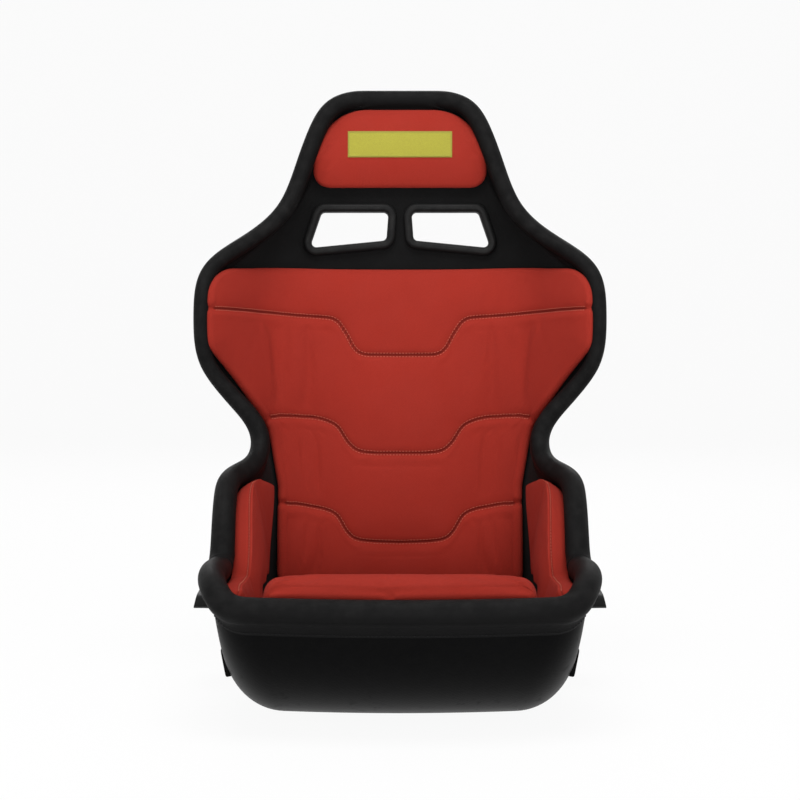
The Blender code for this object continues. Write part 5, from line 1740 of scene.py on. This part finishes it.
@dataclass
class SeatCushion:
    """The seat cushion: a foam wedge with a rolled front and an opening for the crotch strap."""

    tub: TubForm
    half: float = 173.0
    crest_z: float = 204.0
    crest_y: float = -240.0
    rear_z: float = 81.0
    rear_y: float = 139.0
    side: float = 20.0
    nose: float = 0.24
    under: float = 27.0
    slot_y: float = -78.0
    slot_size: tuple[float, float] = (97.2, 35.2)

    def form(self, p: Array, q: Array) -> Pillow:
        """The wedge: an ellipse up from under the nose, a crest, and a dished fall to the back.

        Args:
            p: row shares from the front underside to the rear.
            q: column shares from right to left.

        Returns:
            The cushion before it is puffed.
        """
        tub = self.tub
        x = (2 * q - 1)[None] * (self.half - self.side) + 0 * p[:, None]
        lip = tub.surface(0 * x, x)
        toe_y, toe_z = lip[..., 1] + tub.lip_roll + 13.0, lip[..., 2] + 27.0
        turn = mix(-1.2, math.pi / 2, np.clip(p / self.nose, 0, 1))[:, None]
        fall = np.clip((p - self.nose) / (1 - self.nose), 0, 1)[:, None]
        tall = np.where(turn < 0, self.under, self.crest_z - toe_z)
        y = toe_y + (self.crest_y - toe_y) * (1 - np.cos(turn)) + fall * (self.rear_y - self.crest_y)
        eased = fall - 0.035 * np.sin(2 * math.pi * fall) + 0.03 * np.sin(math.pi * fall)
        eased = eased - 0.05 * fall * (1 - fall) ** 6
        z = toe_z + tall * np.sin(turn) - eased * (self.crest_z - self.rear_z)
        z = z - 5.0 * smooth(3 * fall) * (1 - (x / self.half) ** 2)
        top = np.stack([x, y, z], -1)
        back = tub.from_above(x, y, tub.pad_base + 0.4)
        back[..., :2] = top[..., :2]
        ring = border(*x.shape)
        rim, foot = top.reshape(-1, 3)[ring], back.reshape(-1, 3)[ring]
        out = self.away(rim, foot, *x.shape)
        reach = out * mix(3.0, self.side, np.abs(out[:, :1]))
        down = unit(foot - rim)
        bend = np.minimum(1.5 * self.side, 0.45 * np.linalg.norm(foot - rim, axis=1, keepdims=True))
        turn = np.linspace(0, math.pi / 2, 9)[1:, None, None]
        upper = rim + reach * np.sin(turn) + down * bend * (1 - np.cos(turn))
        low = np.linspace(0, 1, 8)[1:, None, None]
        lower = mix(rim + reach + down * bend, foot + 0.25 * reach, low)
        lower = lower + 0.25 * reach * np.sin(math.pi * low)
        length = np.cumsum(np.full(x.shape, 520.0 / len(p)), axis=0)
        return Pillow(top, np.concatenate([upper, lower]), back, np.stack([x, length], -1))

    @staticmethod
    def away(rim: Array, foot: Array, rows: int, columns: int) -> Array:
        """Directions out of the cushion's sides and ends, softened round its four corners."""
        out = np.zeros_like(rim)
        out[: columns - 1] = (0, -1, 0)
        out[columns - 1 : columns + rows - 2] = (1, 0, 0)
        out[columns + rows - 2 : 2 * columns + rows - 3] = (0, 1, 0)
        out[2 * columns + rows - 3 :] = (-1, 0, 0)
        side = unit(soften(out, 1.5, True))
        down = unit(foot - rim)
        return unit(side - (side * down).sum(-1, keepdims=True) * down)

    @property
    def slot(self) -> "Outline":
        """Outline of the strap opening, from above."""
        a, b = self.slot_size[0] / 2, self.slot_size[1] / 2
        low, high = self.slot_y - b, self.slot_y + b
        return Outline(((-a, low), (a, low), (a, high), (-a, high)), 10.0, 16)

    def opening(self, pad: Pillow) -> Array:
        """The grid cells over the strap opening, after its edge is drawn onto the outline.

        Args:
            pad: the cushion, whose points round the opening are moved sideways onto the outline.

        Returns:
            Whether each cell is taken away.
        """
        flat = pad.top.reshape(-1, 3)
        quads = grid_quads(*pad.top.shape[:2])
        middle = flat[quads].mean(1)
        gone = self.slot.inside(middle[:, 0], middle[:, 1], 0.0)
        edge = np.unique(lone_edges(quads[gone])[0])
        ring = self.slot.ring(0.0)
        ring = np.concatenate([ring, ring[:1]])
        dense = at_lengths(np.arange(0, len(ring) - 1, 0.05), np.arange(len(ring)), ring)
        near = np.argmin(((flat[edge, None, :2] - dense) ** 2).sum(-1), axis=1)
        for grid in (pad.top, pad.back):
            grid.reshape(-1, 3)[edge, :2] = dense[near]
        return gone

    def make(self, bench: Bench) -> None:
        """Builds and dresses the cushion, its sewn channel and the bound strap opening."""
        maker = PadMaker(Inflator(cap=4.0), (56, 40), (220, 150))
        ring = self.slot.ring(0.0)
        edge = np.column_stack([ring, 0 * ring[:, 0]])

        def hold(pad: Pillow) -> Array:
            return peak(line_distance(pad.top * (1, 1, 0), edge), 14.0)

        pad = maker.puffed(self.form, hold)
        quilt = Quilt(pad.top, pad.outward())
        i, j = self.seam_places(*pad.top.shape[:2])
        away = line_distance(pad.top, quilt.at(i, j))
        crease = peak(away, 1.8)
        sunk = 2.2 * peak(away, 7.0) + 1.4 * crease
        near = line_distance(pad.top * (1, 1, 0), edge)
        sunk = sunk + 2.5 * peak(near, 7.0)
        pad.top = pad.top - sunk[..., None] * quilt.normals
        gone = self.opening(pad)
        sheet = pad.sheet(gone)
        # Painted shade: the crease value darkens the cloth along the sewn channel.
        sheet.values["crease"] = np.concatenate([crease.ravel(), np.zeros(len(sheet.points) - crease.size)])
        bench.piece("seat_cushion_cover", sheet.without_loose(), Look.RED, ["seat_cushion"])
        quilt = Quilt(pad.top, pad.outward())
        thread = quilt.rows_of_stitches(i, j, (3.0, -3.0), Seamstress())
        bench.piece("seat_cushion_stitching", thread, Look.RED_THREAD)
        self.bind(bench, quilt)

    @staticmethod
    def seam_places(rows: int, columns: int) -> tuple[Array, Array]:
        """The channel across the cushion, a shallow trapezoid like those of the back pad, in grid places."""
        across = np.linspace(0.012, 0.988, 200)
        fold = np.clip((np.abs(2 * across - 1) - 0.24) / 0.2, 0, 1)
        along = mix(0.735, 0.665, soften(smooth(fold), 3))
        return along * (rows - 1), across * (columns - 1)

    def bind(self, bench: Bench, quilt: Quilt) -> None:
        """The binding sewn round the strap opening: a soft tube that lies on the cushion's edge."""
        ring = self.slot.ring(0.5)
        top = quilt.points
        column = np.interp(ring[:, 0], top[len(top) // 2, :, 0], np.arange(top.shape[1], dtype=float))
        middle = top[:, top.shape[1] // 2]
        rising = int(np.argmax(middle[:, 1] > self.crest_y))
        row = np.interp(ring[:, 1], middle[rising:, 1], np.arange(rising, len(middle), dtype=float))
        line = quilt.at(row, column)
        line[:, :2] = ring
        up = quilt.at(row, column, quilt.normals)
        along = unit(np.roll(line, -1, 0) - np.roll(line, 1, 0))
        side = unit(np.cross(along, up))
        turn = np.linspace(0, 2 * math.pi, 15)[:-1]
        width, height = 3.6 * np.cos(turn), 2.2 * np.sin(turn) + 0.4
        loops = line[:, None] + width[None, :, None] * side[:, None] + height[None, :, None] * up[:, None]
        bench.piece("strap_opening_binding", tube_sheet(loops, ring=True), Look.RED)


def rounded_ring(wide: float, high: float, radius: float, grow: float, steps: int = 8) -> Array:
    """A rectangle with round corners about the origin, moved outwards by grow, counter-clockwise."""
    a, b = wide / 2, high / 2
    return Outline(((-a, -b), (a, -b), (a, b), (-a, b)), radius, steps).ring(grow)


@dataclass(frozen=True)
class Outline:
    """A convex round-cornered outline."""

    corners: tuple[tuple[float, float], ...]
    radius: float
    steps: int = 8

    def ring(self, grow: float) -> Array:
        """Points counter-clockwise round the outline, moved outwards by grow, with its straights divided."""
        corner = np.asarray(self.corners, float)
        edge = np.roll(corner, -1, axis=0) - corner
        edge /= np.linalg.norm(edge, axis=1, keepdims=True)
        out = np.stack([edge[:, 1], -edge[:, 0]], -1)
        before = np.roll(out, 1, axis=0)
        bisector = (before + out) / (1 + (before * out).sum(1, keepdims=True))
        centre = corner - self.radius * bisector
        first = np.arctan2(before[:, 1], before[:, 0])
        swing = np.arctan2(before[:, 0] * out[:, 1] - before[:, 1] * out[:, 0], (before * out).sum(1))
        angle = first[:, None] + swing[:, None] * np.linspace(0, 1, self.steps)
        arcs = centre[:, None] + (self.radius + grow) * np.stack([np.cos(angle), np.sin(angle)], -1)
        share = np.linspace(0, 1, 8)[1:-1, None]
        straights = arcs[:, -1:] + share[None] * (np.roll(arcs, -1, axis=0)[:, :1] - arcs[:, -1:])
        return np.concatenate([arcs, straights], 1).reshape(-1, 2)

    def inside(self, a: Array, b: Array, grow: float) -> Array:
        """Whether places lie inside the outline moved outwards by grow."""
        corner = Outline(self.corners, self.radius, 1).ring(-self.radius)[:: 7]
        loop = np.column_stack([corner, np.zeros(len(corner))])
        loop = np.concatenate([loop, loop[:1]])
        edge = np.diff(loop, axis=0)
        edge /= np.linalg.norm(edge, axis=1, keepdims=True)
        away = [(a - c[0]) * e[1] - (b - c[1]) * e[0] for c, e in zip(loop, edge)]
        near = line_distance(np.stack([a, b, 0 * a], -1), loop)
        return (np.max(away, axis=0) < 0) | (near < self.radius + grow)


# ---- Shell and lining ----


@dataclass(frozen=True)
class Openings:
    """The harness slots that go through the tub, each in the view that it is drawn in."""

    shoulder: Outline = Outline(((20, 623), (133, 612), (115, 664), (17, 664)), 7.0)
    lap: Outline = Outline(((6, 97), (86, 97), (86, 129), (6, 129)), 9.0)
    crotch: Outline = Outline(((-46, -93), (46, -93), (46, -63), (-46, -63)), 8.0)

    def blocked(self, points: Array, grow: float) -> Array:
        """Whether points of the tub lie in a slot that is moved outwards by grow."""
        x, y, z = np.moveaxis(points, -1, 0)
        shoulder = self.shoulder.inside(np.abs(x), z, grow) & (y > 120)
        lap = self.lap.inside(y, z, grow) & (np.abs(x) > 150)
        crotch = self.crotch.inside(x, y, grow) & (z < 40)
        return shoulder | lap | crotch


@dataclass
class TubShell:
    """The composite shell and the cloth that lines it, each a slab between two offsets of the tub."""

    tub: TubForm
    openings: Openings
    tucked: float = 5.0

    def slab(self, low: float, high: float, rows: int, columns: int) -> Sheet:
        """The closed slab between two heights over the tub, without the cells that lie in a slot.

        Args:
            low: height of its lower face.
            high: height of its upper face.
            rows: rows of points from lip to crown.
            columns: columns of points from right to left.

        Returns:
            The slab. Its edges hide in the trim, and its cut-outs under the bezels.
        """
        tub = self.tub
        length = float(tub.middle[2][-1])
        run = np.linspace(self.tucked, length - self.tucked, rows)
        v = tub.v_of_run(run)
        s = np.linspace(-1, 1, columns)[None] * (tub.girth(v) - self.tucked)[:, None]
        faces = [tub.lifted(v[:, None], s, height + 0 * s) for height in (low, high)]
        quads = grid_quads(rows, columns)
        middle = faces[0].reshape(-1, 3)[quads].mean(1)
        quads = quads[~self.openings.blocked(middle, 6.5)]
        count = rows * columns
        a, b = lone_edges(quads)
        sides = np.stack([b, a, a + count, b + count], -1)
        quads = np.concatenate([quads[:, ::-1], quads + count, sides[:, ::-1]])
        points = np.concatenate([face.reshape(-1, 3) for face in faces])
        cloth = np.stack(np.broadcast_arrays(s, run[:, None]), -1).reshape(-1, 2)
        return Sheet(points, quads, np.concatenate([cloth, cloth])).without_loose()

    def make(self, bench: Bench) -> None:
        """Builds and dresses the shell and the lining."""
        tub = self.tub
        shell = self.slab(-tub.wall, 0.0, 300, 110)
        bench.piece("tub_shell", shell, Look.GELCOAT, ["seat_shell"], angle=60)
        lining = self.slab(tub.lining_gap, tub.lining_top, 260, 100)
        bench.piece("tub_lining", lining, Look.LINING, ["inner_lining"], angle=60)


# ---- Edge trim ----


@dataclass
class EdgeTrim:
    """The padded trim: a round roll on the edge with a sewn skirt inside and a short flange outside."""

    tub: TubForm
    rim: RimLine
    joint_y: float = -92.0
    skirt: float = 17.0
    flange: float = 13.0
    cover: float = 1.3

    def joint(self) -> int:
        """Place on the left rim where the thigh roll meets the hip's."""
        left = self.rim.points[: len(self.rim.points) // 2]
        low = np.where(left[:, 2] < self.tub.hip_z - 20, np.abs(left[:, 1] - self.joint_y), 1e9)
        return int(np.argmin(low))

    def profile(self, radius: Array, skirt: Array, flange: Array) -> tuple[Array, Array]:
        """The trim's section at each place, a closed loop in distances inwards and upwards.

        A round arc of the roll runs from the inside over the top to the outside. Fillets that die
        away exponentially lead it into the skirt on the lining and the flange on the shell.

        Args:
            radius: radius of the roll.
            skirt: how far the skirt reaches past the roll.
            flange: how far the flange reaches past the roll.

        Returns:
            Distances inwards and upwards, and how much of a sewn edge each point is.
        """
        radius, skirt, flange = radius[:, None], skirt[:, None], flange[:, None]
        arc = np.radians(np.linspace(44, 312, 30))[None]
        arc_in, arc_up = radius * np.cos(arc), radius * np.sin(arc)
        top, low = self.tub.lining_top, -self.tub.wall
        share = np.linspace(1, 0, 12)[None, :-1]
        start_in, start_up = arc_in[:, :1], arc_up[:, :1]
        reach = radius + skirt - start_in
        skirt_in = start_in + share * reach
        fade = np.exp(-share * reach / (0.30 * radius)) * (1 - share**6)
        skirt_up = top + self.cover * (1 - 0.6 * share**8) + (start_up - top - self.cover) * fade
        share = share[:, ::-1]
        end_in, end_up = arc_in[:, -1:], arc_up[:, -1:]
        span = radius + flange - end_in
        flange_in = end_in + share * span
        fade = np.exp(-share * span / (0.28 * radius)) * (1 - share**6)
        flange_up = low - self.cover * (1 - 0.6 * share**8) + (end_up - low + self.cover) * fade
        under_in = np.concatenate([radius + flange, 0.4 * radius, 0.4 * radius, radius + skirt], 1)
        under_up = np.concatenate([0 * radius + low - 0.1, 0 * radius + low - 0.1,
                                   0 * radius + top + 0.1, 0 * radius + top + 0.1], 1)
        inward = np.concatenate([skirt_in, arc_in, flange_in, under_in], 1)
        upward = np.concatenate([skirt_up, arc_up, flange_up, under_up], 1)
        return inward, upward

    def roll(self, line: RimLine, bend: Array) -> tuple[Sheet, Sheet, Sheet]:
        """One roll with round ends, and the stitches along its skirt and its flange.

        Args:
            line: the stretch of the rim that it covers.
            bend: how sharply the rim turns inwards there.

        Returns:
            The roll, the stitches inside and the stitches outside.
        """
        room = 0.82 / np.maximum(bend, 1e-3)
        skirt = np.clip(soften(np.minimum(self.skirt, room - line.radius), 2.5), 2.0, None)
        flange = np.clip(soften(np.minimum(self.flange, room - line.radius), 2.5), 2.0, None)
        inward, upward = self.profile(line.radius, skirt, flange)
        to_end = np.minimum(line.length, line.length[-1] - line.length)[:, None]
        full = np.sqrt(np.clip(1 - (1 - np.clip(to_end / 5.0, 0, 1)) ** 2, 0.0, 1))
        full = mix(0.86, 1.0, full)
        pull = np.maximum(-bend, 0)[:, None] * 60
        inside = np.exp(-((inward / line.radius[:, None] - 0.9) ** 2) / 0.3)
        wave = 0.45 * pull * np.sin(line.length[:, None] / 4.1) * inside
        axis_up = 0.5 * (self.tub.lining_top - self.tub.wall)
        inward, upward = inward * full, axis_up + (upward + wave - axis_up) * full
        across = inward[..., None] * line.inward[:, None] + upward[..., None] * line.up[:, None]
        loops = line.points[:, None] + across
        near = smooth((inward / line.radius[:, None] - 0.1) / 0.7)
        v, s = self.tub.foot(loops, line.v[:, None] + 0 * inward, line.s[:, None] + 0 * inward)
        normal = self.tub.normal(v, s)
        height = ((loops - self.tub.surface(v, s)) * normal).sum(-1)
        loops = loops + (near * np.clip(upward - height, -12, 12))[..., None] * normal
        sheet = tube_sheet(loops, along=line.length)
        # Painted shade: the crease value darkens the trim's colour along its two seam lines.
        seam = np.zeros(loops.shape[1])
        seam[[1, 39]] = 0.6
        seam[[2, 38]] = 1.0
        sheet.values["crease"] = np.tile(seam, len(loops) + 2)
        outer = np.zeros(loops.shape[1])
        outer[11:41] = np.sin(np.linspace(0, math.pi, 30)) ** 2
        sheet.values["edge"] = np.tile(outer, len(loops) + 2)
        hand = Seamstress(pitch=5.2, long=3.8)
        places = np.arange(len(loops))[3:-3]
        inner = hand.row(loops[places, 2] + 0.1 * line.up[places], line.up[places])
        outside = hand.row(loops[places, 49] - 0.1 * line.up[places], -line.up[places])
        return sheet, inner, outside

    def make(self, bench: Bench) -> None:
        """Builds and dresses the thigh roll and the back roll with their stitching."""
        joint, count = self.joint(), len(self.rim.points)
        bend = self.rim.bend()
        parts = {"thigh": (count - joint, count + joint), "back": (joint, count - joint)}
        for name, (first, last) in parts.items():
            line = self.rim.stretch(first, last)
            sheet, inner, outer = self.roll(line, bend[np.arange(first, last + 1) % count])
            bench.piece(f"{name}_roll_cover", sheet, Look.TRIM, [f"{name}_edge_roll"])
            bench.piece(f"{name}_roll_stitching", inner.joined(outer), Look.BLACK_THREAD)


# ---- Harness slots, belt guides, mounts ----


@dataclass
class SlotTrim:
    """The moulded rings of the harness slots, front and rear, and the belt guides outside the hips."""

    tub: TubForm
    openings: Openings
    collar: float = 2.6
    flange: float = 13.0
    bead: float = 8.4
    gap: float = 0.3
    rear: float = 4.5
    guide_reach: float = 283.5
    guide_wall: float = 3.5
    mouth_lift: float = 25.0

    def loops(self, place: Callable[[Array, Array, float], Array], slot: Outline, profile: Array) -> Array:
        """Loops round a slot, one for each point of a profile of outward and upward distances."""
        return np.stack([place(*slot.ring(grow).T, height) for grow, height in profile])

    def front_profile(self, bead: float, reach: float) -> Array:
        """A collar through the wall and a round bead over the lining, a half ellipse across the flange."""
        seat = self.tub.lining_top + self.gap
        turn = np.linspace(0, math.pi, 17)
        half = self.flange / 2
        crown = seat + 0.12 * bead + 0.88 * bead * np.sin(turn) ** 0.85
        over = np.stack([half + half * np.cos(turn), crown], -1)
        start = [(0.0, seat - 0.5), (0.0, -reach + 0.8), (0.6, -reach), (self.collar, -reach),
                 (self.collar, seat - 1)]
        return np.concatenate([start, [(self.flange - 0.4, seat)], over])

    def rear_profile(self) -> Array:
        """The ring behind the wall, its outer edge rounded off."""
        near, far = self.collar + 0.35, 0.9 * self.flange
        top = -(self.tub.wall + self.gap)
        turn = np.linspace(0, math.pi / 2, 8)
        edge = np.stack([far - 3.5 * (1 - np.cos(turn)), top - 0.8 - (self.rear - 0.8) * np.sin(turn)], -1)
        inside = [(near + 0.6, top - self.rear), (near, top - 3.9)]
        return np.concatenate([[(near, top), (far - 0.2, top)], edge, inside])

    def guide(self) -> Array:
        """The belt duct outside the lap slot: a foot flange on the wall and a flared open mouth."""
        near, far = self.collar + 0.7, 0.9 * self.flange
        root, thick = -(self.tub.wall + self.gap), self.guide_wall
        outer_foot = [(near, root), (far, root), (far, root - 0.6 * thick), (far - 1.2, root - thick),
                      (near + thick + 1.5, root - thick)]
        foot = self.loops(self.tub.from_side, self.openings.lap, np.array(outer_foot))
        low = self.openings.lap.corners[0][1]
        mouths = []
        steps = ((near + thick, 0.0), (near + thick - 0.8, 0.5), (near + 1.2, 0.5), (near + 0.4, 0.0))
        for grow, lift in steps:
            ring = self.openings.lap.ring(grow)
            z = low + self.mouth_lift + 0.45 * (ring[:, 1] - low)
            x = self.guide_reach - 0.25 * (z - low - self.mouth_lift) - 0.8 + 1.6 * lift
            mouths.append(np.stack([x, ring[:, 0], z], -1))
        share = np.linspace(0, 1, 11)[1:-1, None, None]
        rise = np.concatenate([share, share, 1 - (1 - share) ** 4], -1)
        outside = mix(foot[-1], mouths[0], rise)
        inside = mix(mouths[-1], foot[0], 1 - rise[::-1])
        return np.concatenate([foot, outside, np.array(mouths), inside])

    def pair(self, bench: Bench, name: str, loops: Array, nodes: str) -> None:
        """The left piece and its mirror image, each standing for its CAD node."""
        sheet = tube_sheet(loops, ring=True)
        high = np.linspace(0, 1, len(loops))
        sheet.values["edge"] = np.repeat(peak(high - 0.72, 0.2), loops.shape[1])
        for side in Side:
            word = side.name.lower()
            mine = sheet if side is Side.LEFT else sheet.mirrored()
            bench.piece(f"{name}_{word}", mine, Look.RUBBER, [f"{nodes}_{word}"], angle=55)

    def make(self, bench: Bench) -> None:
        """Builds and dresses the rings and the guides."""
        tub, slots = self.tub, self.openings
        reach = tub.wall + 0.9 + 2.4
        front = self.front_profile(self.bead, reach)
        shoulder = self.loops(tub.from_front, slots.shoulder, front)
        self.pair(bench, "shoulder_ring", shoulder, "shoulder_slot_bezel")
        rear = self.loops(tub.from_front, slots.shoulder, self.rear_profile())
        self.pair(bench, "shoulder_rear_ring", rear, "shoulder_slot_backing")
        lap = self.loops(tub.from_side, slots.lap, self.front_profile(0.6 * self.bead, reach))
        self.pair(bench, "lap_ring", lap, "lap_slot_bezel")
        self.pair(bench, "belt_guide", self.guide(), "lap_belt_guide")
        profile = self.front_profile(1.9, tub.wall - 0.8)
        crotch = tube_sheet(self.loops(tub.from_above, slots.crotch, profile), ring=True)
        bench.piece("crotch_ring", crotch, Look.RUBBER, ["crotch_slot_bezel"], angle=55)


@dataclass
class SideMounts:
    """The four bosses on the tub's sides with their flanged, threaded steel bushes."""

    tub: TubForm
    front_y: float = -150.0
    spacing: float = 270.0
    height: float = 80.0
    size: float = 34.0
    proud: float = 2.6
    bore: float = 3.4
    shank: float = 7.0
    flange: float = 10.5
    flange_thick: float = 1.6
    pitch: float = 1.25

    def frame(self, y: float) -> tuple[Array, Array]:
        """The hole's middle on the tub's inner face and the direction into the seat."""
        centre = self.tub.from_side(np.array(y), np.array(self.height), 0.0)
        return centre, unit(self.tub.from_side(np.array(y), np.array(self.height), 1.0) - centre)

    def boss(self, y: float) -> Sheet:
        """A flat rounded-square boss: its flanks spread into the wall by a quarter round.

        Args:
            y: depth of the hole.

        Returns:
            The boss with the bush's recess in it.
        """
        centre, axis = self.frame(y)
        ring = rounded_ring(self.size, self.size, 6.0, 0.0, 10)
        root = -(self.tub.wall + 0.05)
        face_depth = -(self.tub.wall + 0.45 + self.proud)
        levels = []
        flank = ((-4.0, 0.0), (-0.1, 0.0), (0.0, 0.15), (0.0, 0.7), (-0.35, 0.9), (-1.1, 1.0), (-2.5, 1.0))
        for grow, share in flank:
            scale = 1 + 2 * grow / self.size
            flat = ring * scale
            wall = self.tub.from_side(y + flat[:, 0], self.height + flat[:, 1], root)
            plane = wall - (((wall - centre) @ axis) - face_depth)[:, None] * axis
            levels.append(mix(wall, plane, share))
        turn = np.arctan2(ring[:, 1], ring[:, 0])
        side = unit(np.cross(axis, [0.0, 0, 1]))
        up = np.cross(side, axis)
        flip = 1.0 if side[1] > 0 else -1.0
        deep = face_depth + 1.9
        for radius, depth in ((self.flange + 0.5, face_depth), (self.flange + 0.5, deep), (self.shank, deep)):
            circle = radius * (flip * np.cos(turn)[:, None] * side + np.sin(turn)[:, None] * up)
            levels.append(centre + depth * axis + circle)
        return tube_sheet(np.array(levels))

    def bush(self, y: float) -> Sheet:
        """The bush: a turned flange and shank, and a bore whose radius follows the thread's helix.

        Args:
            y: depth of the hole.

        Returns:
            The bush as a ring of circles along its section.
        """
        centre, axis = self.frame(y)
        face = -(self.tub.wall + 0.45 + self.proud)
        inner = self.tub.lining_top + 0.25
        outside = [(self.bore + 0.9, face), (self.flange - 0.5, face), (self.flange, face + 0.5),
                   (self.flange, face + self.flange_thick), (self.shank, face + self.flange_thick),
                   (self.shank, inner - 0.4), (self.shank - 0.4, inner), (self.bore + 0.9, inner)]
        depth = np.linspace(inner - 0.9, face + 0.9, 72)
        radii = np.concatenate([[r for r, _ in outside], 0 * depth + self.bore + 0.3])
        depths = np.concatenate([[d for _, d in outside], depth])
        turn = np.linspace(0, 2 * math.pi, 49)[:-1]
        phase = depths[:, None] / self.pitch + turn[None] / (2 * math.pi)
        thread = np.abs(phase % 1.0 - 0.5) * 4 - 1
        cut = np.zeros(len(radii))
        cut[len(outside) :] = 0.34
        radius = radii[:, None] + cut[:, None] * thread
        side = unit(np.cross(axis, [0.0, 0, 1]))
        up = np.cross(side, axis)
        ring = np.cos(turn)[:, None] * side + np.sin(turn)[:, None] * up
        return tube_sheet(centre + radius[..., None] * ring + depths[:, None, None] * axis, ring=True)

    def make(self, bench: Bench) -> None:
        """Builds and dresses bosses and bushes at all four places."""
        for place, y in (("front", self.front_y), ("rear", self.front_y + self.spacing)):
            boss, bush = self.boss(y), self.bush(y)
            for side in Side:
                word = f"{place}_{side.name.lower()}"
                mine = (boss, bush) if side is Side.LEFT else (boss.mirrored(), bush.mirrored())
                bench.piece(f"side_boss_{word}", mine[0], Look.GELCOAT, [f"mount_boss_{word}"], angle=35)
                bench.piece(f"threaded_bush_{word}", mine[1], Look.STEEL, [f"mount_insert_{word}"], angle=30)


# ---- Studio ----


@dataclass
class Studio:
    """A pale floor that turns up into a backdrop, soft lamps and the photograph's camera."""

    distance: float = 2.90
    elevation: float = 4.5
    target_z: float = 0.4075
    lens: float = 95.85
    floor_colour: Colour = (0.86, 0.86, 0.865)
    lamps: tuple[tuple[str, tuple[float, float, float], tuple[float, float], float], ...] = (
        ("overhead", (0.0, -0.9, 2.8), (1.8, 1.2), 54.0),
        ("front_fill", (0.0, -3.6, 0.5), (2.4, 1.0), 60.0),
        ("left_fill", (2.4, -1.5, 0.9), (1.4, 1.8), 14.0),
        ("right_fill", (-2.4, -1.5, 0.9), (1.4, 1.8), 14.0),
        ("back_fill", (0.0, 2.6, 1.8), (2.2, 1.4), 30.0),
    )
    sky: float = 0.28

    def backdrop(self) -> None:
        """The floor and backdrop: flat in front, a quarter round behind, then upright."""
        turn = np.linspace(0, math.pi / 2, 24)
        y = np.concatenate([[-9.0, 0.0], 3.6 + 1.6 * np.sin(turn), [5.2]])
        z = np.concatenate([[0.0, 0.0], 1.6 * (1 - np.cos(turn)), [6.5]])
        x = np.array([-9.0, 9.0])
        points = np.stack(np.broadcast_arrays(x[None], y[:, None], z[:, None] - 0.0002), -1) / MM
        mesh = bpy.data.meshes.new("studio_floor")
        mesh.from_pydata((points.reshape(-1, 3) * MM).tolist(), [], grid_quads(len(y), 2).tolist())
        mesh.shade_smooth()
        floor = bpy.data.objects.new("studio_floor", mesh)
        bpy.context.scene.collection.objects.link(floor)
        mesh.materials.append(self.paper())

    def paper(self) -> bpy.types.Material:
        """Matt paper that the camera and reflections see nearly white, with shadows kept."""
        coat = Coat("studio_paper")
        sheet, tree = coat.sheet, coat.material.node_tree
        coat.feed(Base_Color=(*self.floor_colour, 1), Roughness=0.95, Specular_IOR_Level=0.1,
                  Normal=sheet.bump(sheet.noise(coat.place, 180.0), 0.0002, 0.15))
        glow = sheet.add("Emission", {"Color": (1, 1, 1, 1), "Strength": 1.0})
        share = sheet.math("MULTIPLY", self.seen(sheet), 0.93)
        both = sheet.add("MixShader", {0: share, 1: coat.shader.outputs[0], 2: glow.outputs[0]})
        sheet.wire(tree.nodes["Material Output"], {"Surface": both.outputs[0]})
        return coat.material

    @staticmethod
    def seen(sheet: NodeSheet) -> Socket:
        """1 for rays from the camera and in reflections, 0 for light that falls on things."""
        path = sheet.add("LightPath", {}).outputs
        glossy = sheet.math("MAXIMUM", path["Is Glossy Ray"], path["Is Transmission Ray"])
        return sheet.math("MAXIMUM", path["Is Camera Ray"], glossy)

    def world(self) -> None:
        """An even pale sky, white where the camera or a reflection sees it."""
        world = bpy.data.worlds.new("studio_sky")
        world.use_nodes = True
        bpy.context.scene.world = world
        sheet = NodeSheet(world.node_tree)
        strength = sheet.math("MULTIPLY_ADD", self.seen(sheet), 1.0 - self.sky, self.sky)
        sheet.wire(world.node_tree.nodes["Background"], {"Color": (1, 1, 1, 1), "Strength": strength})

    def light(self) -> None:
        """The soft lamps, each turned to the seat."""
        for name, place, size, power in self.lamps:
            data = bpy.data.lights.new(name, "AREA")
            data.shape = "RECTANGLE"
            data.size, data.size_y = size
            data.energy = power
            lamp = bpy.data.objects.new(name, data)
            lamp.location = place
            aim = Vector((0.0, 0.0, 0.42)) - Vector(place)
            lamp.rotation_euler = aim.to_track_quat("-Z", "Y").to_euler()
            bpy.context.scene.collection.objects.link(lamp)

    def camera(self) -> None:
        """The photograph's camera: a long lens in front of the seat, a little above its middle."""
        data = bpy.data.cameras.new("photo_camera")
        data.lens = self.lens
        data.sensor_width = 36.0
        camera = bpy.data.objects.new("photo_camera", data)
        tilt = math.radians(self.elevation)
        camera.location = (0.0, -self.distance * math.cos(tilt), self.target_z + self.distance * math.sin(tilt))
        camera.rotation_euler = (math.pi / 2 - tilt, 0.0, 0.0)
        bpy.context.scene.collection.objects.link(camera)
        bpy.context.scene.camera = camera

    def make(self) -> None:
        """Sets up floor, sky, lamps, camera and the plain view transform."""
        self.backdrop()
        self.world()
        self.light()
        self.camera()
        bpy.context.scene.view_settings.view_transform = "Standard"


def dress_tapes(finish: bpy.types.Material) -> None:
    """Gives the CAD's hook strips their finish."""
    for name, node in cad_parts.items():
        if name.startswith("hook_strip"):
            node.material_slots[0].material = finish
            LOG.info("%s keeps its CAD shape", name)


def main() -> None:
    """Builds the studio and the seat in order."""
    logging.basicConfig(level=logging.INFO, format="%(message)s")
    Studio().make()
    bench = Bench(finishes())
    tub = TubForm()
    rim = RimLine.of(tub, 3.0)
    openings = Openings()
    TubShell(tub, openings).make(bench)
    EdgeTrim(tub, rim).make(bench)
    BackPads(tub).make(bench)
    SideBolster(tub, rim).make(bench)
    SeatCushion(tub).make(bench)
    SlotTrim(tub, openings).make(bench)
    SideMounts(tub).make(bench)
    dress_tapes(bench.finishes[Look.TAPE])
    LOG.info("%d pieces made", len(bench.made))


if __name__ == "__main__":
    main()
